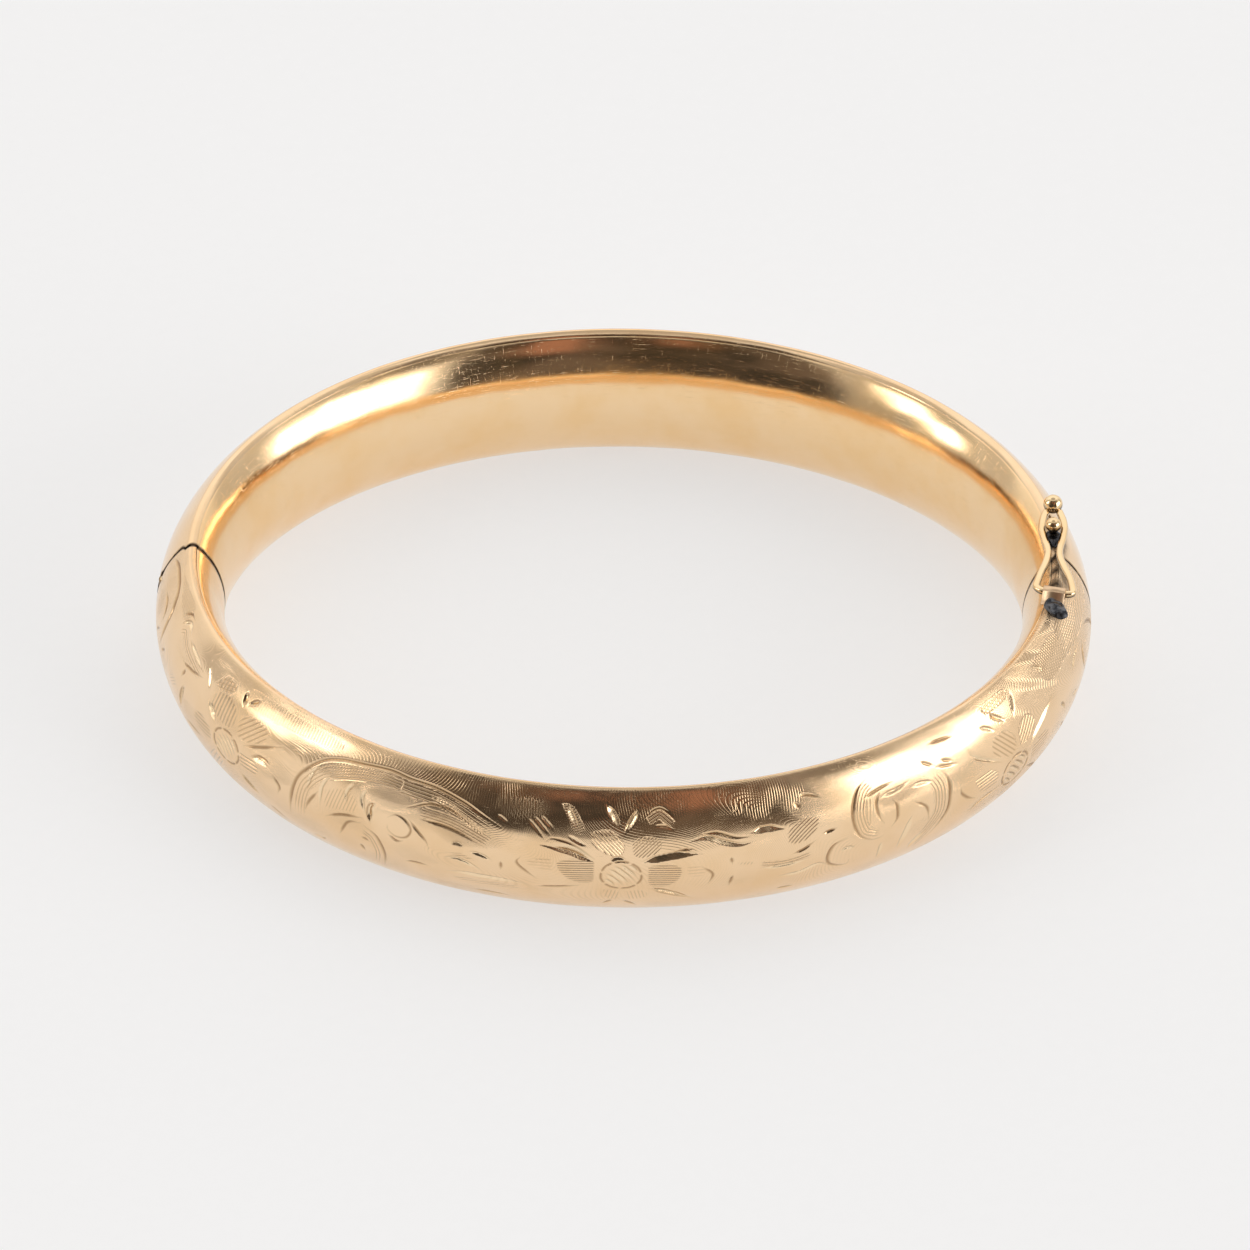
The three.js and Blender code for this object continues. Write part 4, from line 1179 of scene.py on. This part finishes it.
def solder_blob(name, at, width, length, height, seed, body, node, lean=0.0):
    """An uneven bead of solder that sits on the band."""
    profile = [(0, -0.12), (0.96, -0.12), (1.0, 0.0)]
    profile += [(math.cos(a), math.sin(a)) for a in np.linspace(0.08, math.pi / 2, 16)]
    profile[-1] = (0, 1)

    def shape(points):
        points = points * (width / 2, length / 2, height)
        angle = np.arctan2(points[:, 1], points[:, 0])
        spread = 1 + 0.10 * np.sin(2 * angle + seed) + 0.05 * np.sin(5 * angle + 2 * seed)
        points[:, :2] *= spread[:, None]
        points[:, 0] += lean * points[:, 1]
        points[:, 2] += np.where(points[:, 2] > 0.02, lumps(points, seed, 0.14), 0) * height / 0.3
        points[:, :2] += 0.03 * lumps(points + 3, seed + 1, 1.0)[:, None]
        return points + at

    points, faces = turned(profile, 48, shape)
    closed_piece(name, points, faces, SOLDER, body, [node])


solder_base = SEAT - 0.04
solder_blob("eye_solder_bead", (0.08, -1.32, solder_base), 1.4, 2.3, 0.5, 3,
            "front_half", "catch_eye_solder", lean=-0.25)
solder_blob("peg_solder_bead", (0, PEG_Y - 0.5, solder_base), 1.15, 2.1, 0.26, 8,
            "rear_half", "safety_peg_solder")


# ---- Parts shown as they are in the CAD -------------------------------------------------------

EDGE_BEVEL = 0.05
# The recessed plates and knuckles get the darkened plate gold, painted shade.
CAD_LOOKS = {
    "rear_hinge_plate": SHADED_PLATE, "rear_clasp_plate": SHADED_PLATE, "rear_knuckle_lower": SHADED_PLATE,
    "rear_knuckle_upper": SHADED_PLATE, "front_hinge_plate": SHADED_PLATE, "front_clasp_plate": SHADED_PLATE,
    "front_knuckle_middle": SHADED_PLATE, "hinge_pin": WIRE,
    "tongue_base_leaf": SPRING, "tongue_spring_leaf": SPRING,
}

for node, material in CAD_LOOKS.items():
    part = frame["nodes"][node]
    part.data.materials.clear()
    part.data.materials.append(material)
    bevel = part.modifiers.new("edges", "BEVEL")
    bevel.width = EDGE_BEVEL * MM
    bevel.segments = 2
    bevel.limit_method = "ANGLE"
    bevel.angle_limit = math.radians(50)


# ---- Stage, light and camera ------------------------------------------------------------------

def lay_floor():
    radius, sides = 1.6, 96
    turns = np.linspace(0, 2 * math.pi, sides, endpoint=False)
    mesh = bpy.data.meshes.new("floor")
    rim = [(radius * math.cos(a), radius * math.sin(a), 0) for a in turns]
    mesh.from_pydata(rim, [], [tuple(range(sides))])
    material, n, shader = new_material("pale_card")
    fibres = n.noise(n.place(), 900.0, 2.0)
    n.put(shader["Base Color"], n.mix(fibres, (0.36, 0.36, 0.362, 1), (0.38, 0.38, 0.382, 1)))
    shader["Emission Color"].default_value = (1.0, 1.0, 1.0, 1)
    shader["Emission Strength"].default_value = 0.575
    shader["Roughness"].default_value = 0.9
    shader["Specular IOR Level"].default_value = 0.1
    mesh.materials.append(material)
    floor = bpy.data.objects.new("floor", mesh)
    bpy.context.scene.collection.objects.link(floor)


# The tent's patches: (azimuth from, to, elevation from, to, softness of each) in degrees, -Y being azimuth 0.
SEAMS = ((97, 124, -2, 42, 4, 6), (-112, -95, -5, 36, 4, 6), (-66, -50, -5, 50, 3, 6))
BOX_FRAMES = ((-94, -55, 1, 49, 3, 4),)
OPEN_FRONT = (-51, 41, -3, 63, 5, 3.5)
CLOTHES = ((-18, -9, 40, 55, 3, 5), (10, 24, 30, 55, 3, 5))
DIM_CEILINGS = ((62, 94, 32, 60, 4, 3), (-96, -55, 42, 60, 3, 4))
DARK_CEILINGS = ((41, 66, 37, 61, 4, 3),)
RIGHT_BOX = ((47, 78, 4, 30, 2.5, 3), (76, 92, 4, 24, 2.5, 3))
LEFT_BOX = ((-87, -76, 8, 23, 2, 2.5), (-76, -64, 18, 38, 2, 2.5))


def light_tent():
    """A white tent with two softboxes, and the darker room seen through its open front."""
    world = bpy.data.worlds.new("tent")
    bpy.context.scene.world = world
    world.use_nodes = True
    n = Nodes(world.node_tree)
    direction = n.place("Generated")
    x, y, z = n.split(direction)
    azimuth = n.math("MULTIPLY", n.math("ARCTAN2", x, n.math("MULTIPLY", y, -1.0)), 180 / math.pi)
    elevation = n.math("MULTIPLY", n.math("ARCSINE", z), 180 / math.pi)

    def patch(low_a, high_a, low_e, high_e, soft_a, soft_e):
        rise = n.ramp(azimuth, low_a - soft_a, low_a + soft_a)
        fall = n.ramp(azimuth, high_a - soft_a, high_a + soft_a, 1.0, 0.0)
        up = n.ramp(elevation, low_e - soft_e, low_e + soft_e)
        down = n.ramp(elevation, high_e - soft_e, high_e + soft_e, 1.0, 0.0)
        return n.math("MULTIPLY", n.math("MULTIPLY", rise, fall), n.math("MULTIPLY", up, down))

    def hung(behind, patches, tone, share=1.0):
        mask = patch(*patches[0])
        for places in patches[1:]:
            mask = n.math("MAXIMUM", mask, patch(*places))
        return n.mix(n.math("MULTIPLY", mask, share), behind, tone)

    sky = n.mix(n.ramp(elevation, 0, 40), (0.88, 0.86, 0.84, 1), (1.16, 1.14, 1.12, 1))
    sky = n.mix(n.ramp(elevation, 61, 72), sky, (0.52, 0.50, 0.48, 1))
    sky = hung(sky, SEAMS, (0.45, 0.43, 0.41, 1), 0.7)
    sky = hung(sky, BOX_FRAMES, (0.36, 0.34, 0.31, 1), 0.8)
    haze = n.noise(direction, 3.0, 3.0)
    room = n.mix(n.ramp(haze, 0.42, 0.68), (0.045, 0.04, 0.036, 1), (0.15, 0.12, 0.10, 1))
    room = hung(room, CLOTHES, (0.40, 0.21, 0.15, 1))
    sky = n.mix(patch(*OPEN_FRONT), sky, room)
    sky = hung(sky, DIM_CEILINGS, (0.60, 0.58, 0.55, 1))
    sky = hung(sky, DARK_CEILINGS, (0.22, 0.20, 0.18, 1))
    sky = hung(sky, RIGHT_BOX + LEFT_BOX, (4.2, 4.15, 4.1, 1))
    n.put(n.tree.nodes["Background"].inputs["Color"], sky)


CAMERA_DISTANCE = 740.0
CAMERA_ELEVATION = math.radians(39.319)
CAMERA_AZIMUTH = math.radians(0.290)
CAMERA_ROLL = math.radians(-0.671)
FOCAL_SHARE = 8.23136  # focal length over the sensor's width
AIM_RIGHT = 0.149310  # the point aimed at, across the view from the origin
AIM_UP = 3.252301


def set_camera():
    """The photo's viewpoint: a long lens about 39 degrees above the table, aimed just above the middle."""
    e_sin, e_cos = math.sin(CAMERA_ELEVATION), math.cos(CAMERA_ELEVATION)
    a_sin, a_cos = math.sin(CAMERA_AZIMUTH), math.cos(CAMERA_AZIMUTH)
    stand = Vector((-e_cos * a_sin, -e_cos * a_cos, e_sin)) * CAMERA_DISTANCE
    level = Vector((a_cos, -a_sin, 0))
    upright = Vector((a_sin * e_sin, a_cos * e_sin, e_cos))
    right = level * math.cos(CAMERA_ROLL) - upright * math.sin(CAMERA_ROLL)
    up = level * math.sin(CAMERA_ROLL) + upright * math.cos(CAMERA_ROLL)
    back = (stand - right * AIM_RIGHT - up * AIM_UP).normalized()
    side = (right - back * right.dot(back)).normalized()
    data = bpy.data.cameras.new("camera")
    data.sensor_width = 36.0
    data.lens = data.sensor_width * FOCAL_SHARE
    data.clip_start = 0.05
    data.clip_end = 10.0
    camera = bpy.data.objects.new("camera", data)
    bpy.context.scene.collection.objects.link(camera)
    rotation = Matrix((side, back.cross(side), back)).transposed()
    camera.matrix_world = Matrix.Translation(stand * MM) @ rotation.to_4x4()
    bpy.context.scene.camera = camera


lay_floor()
light_tent()
set_camera()
bpy.context.scene.view_settings.view_transform = "Standard"
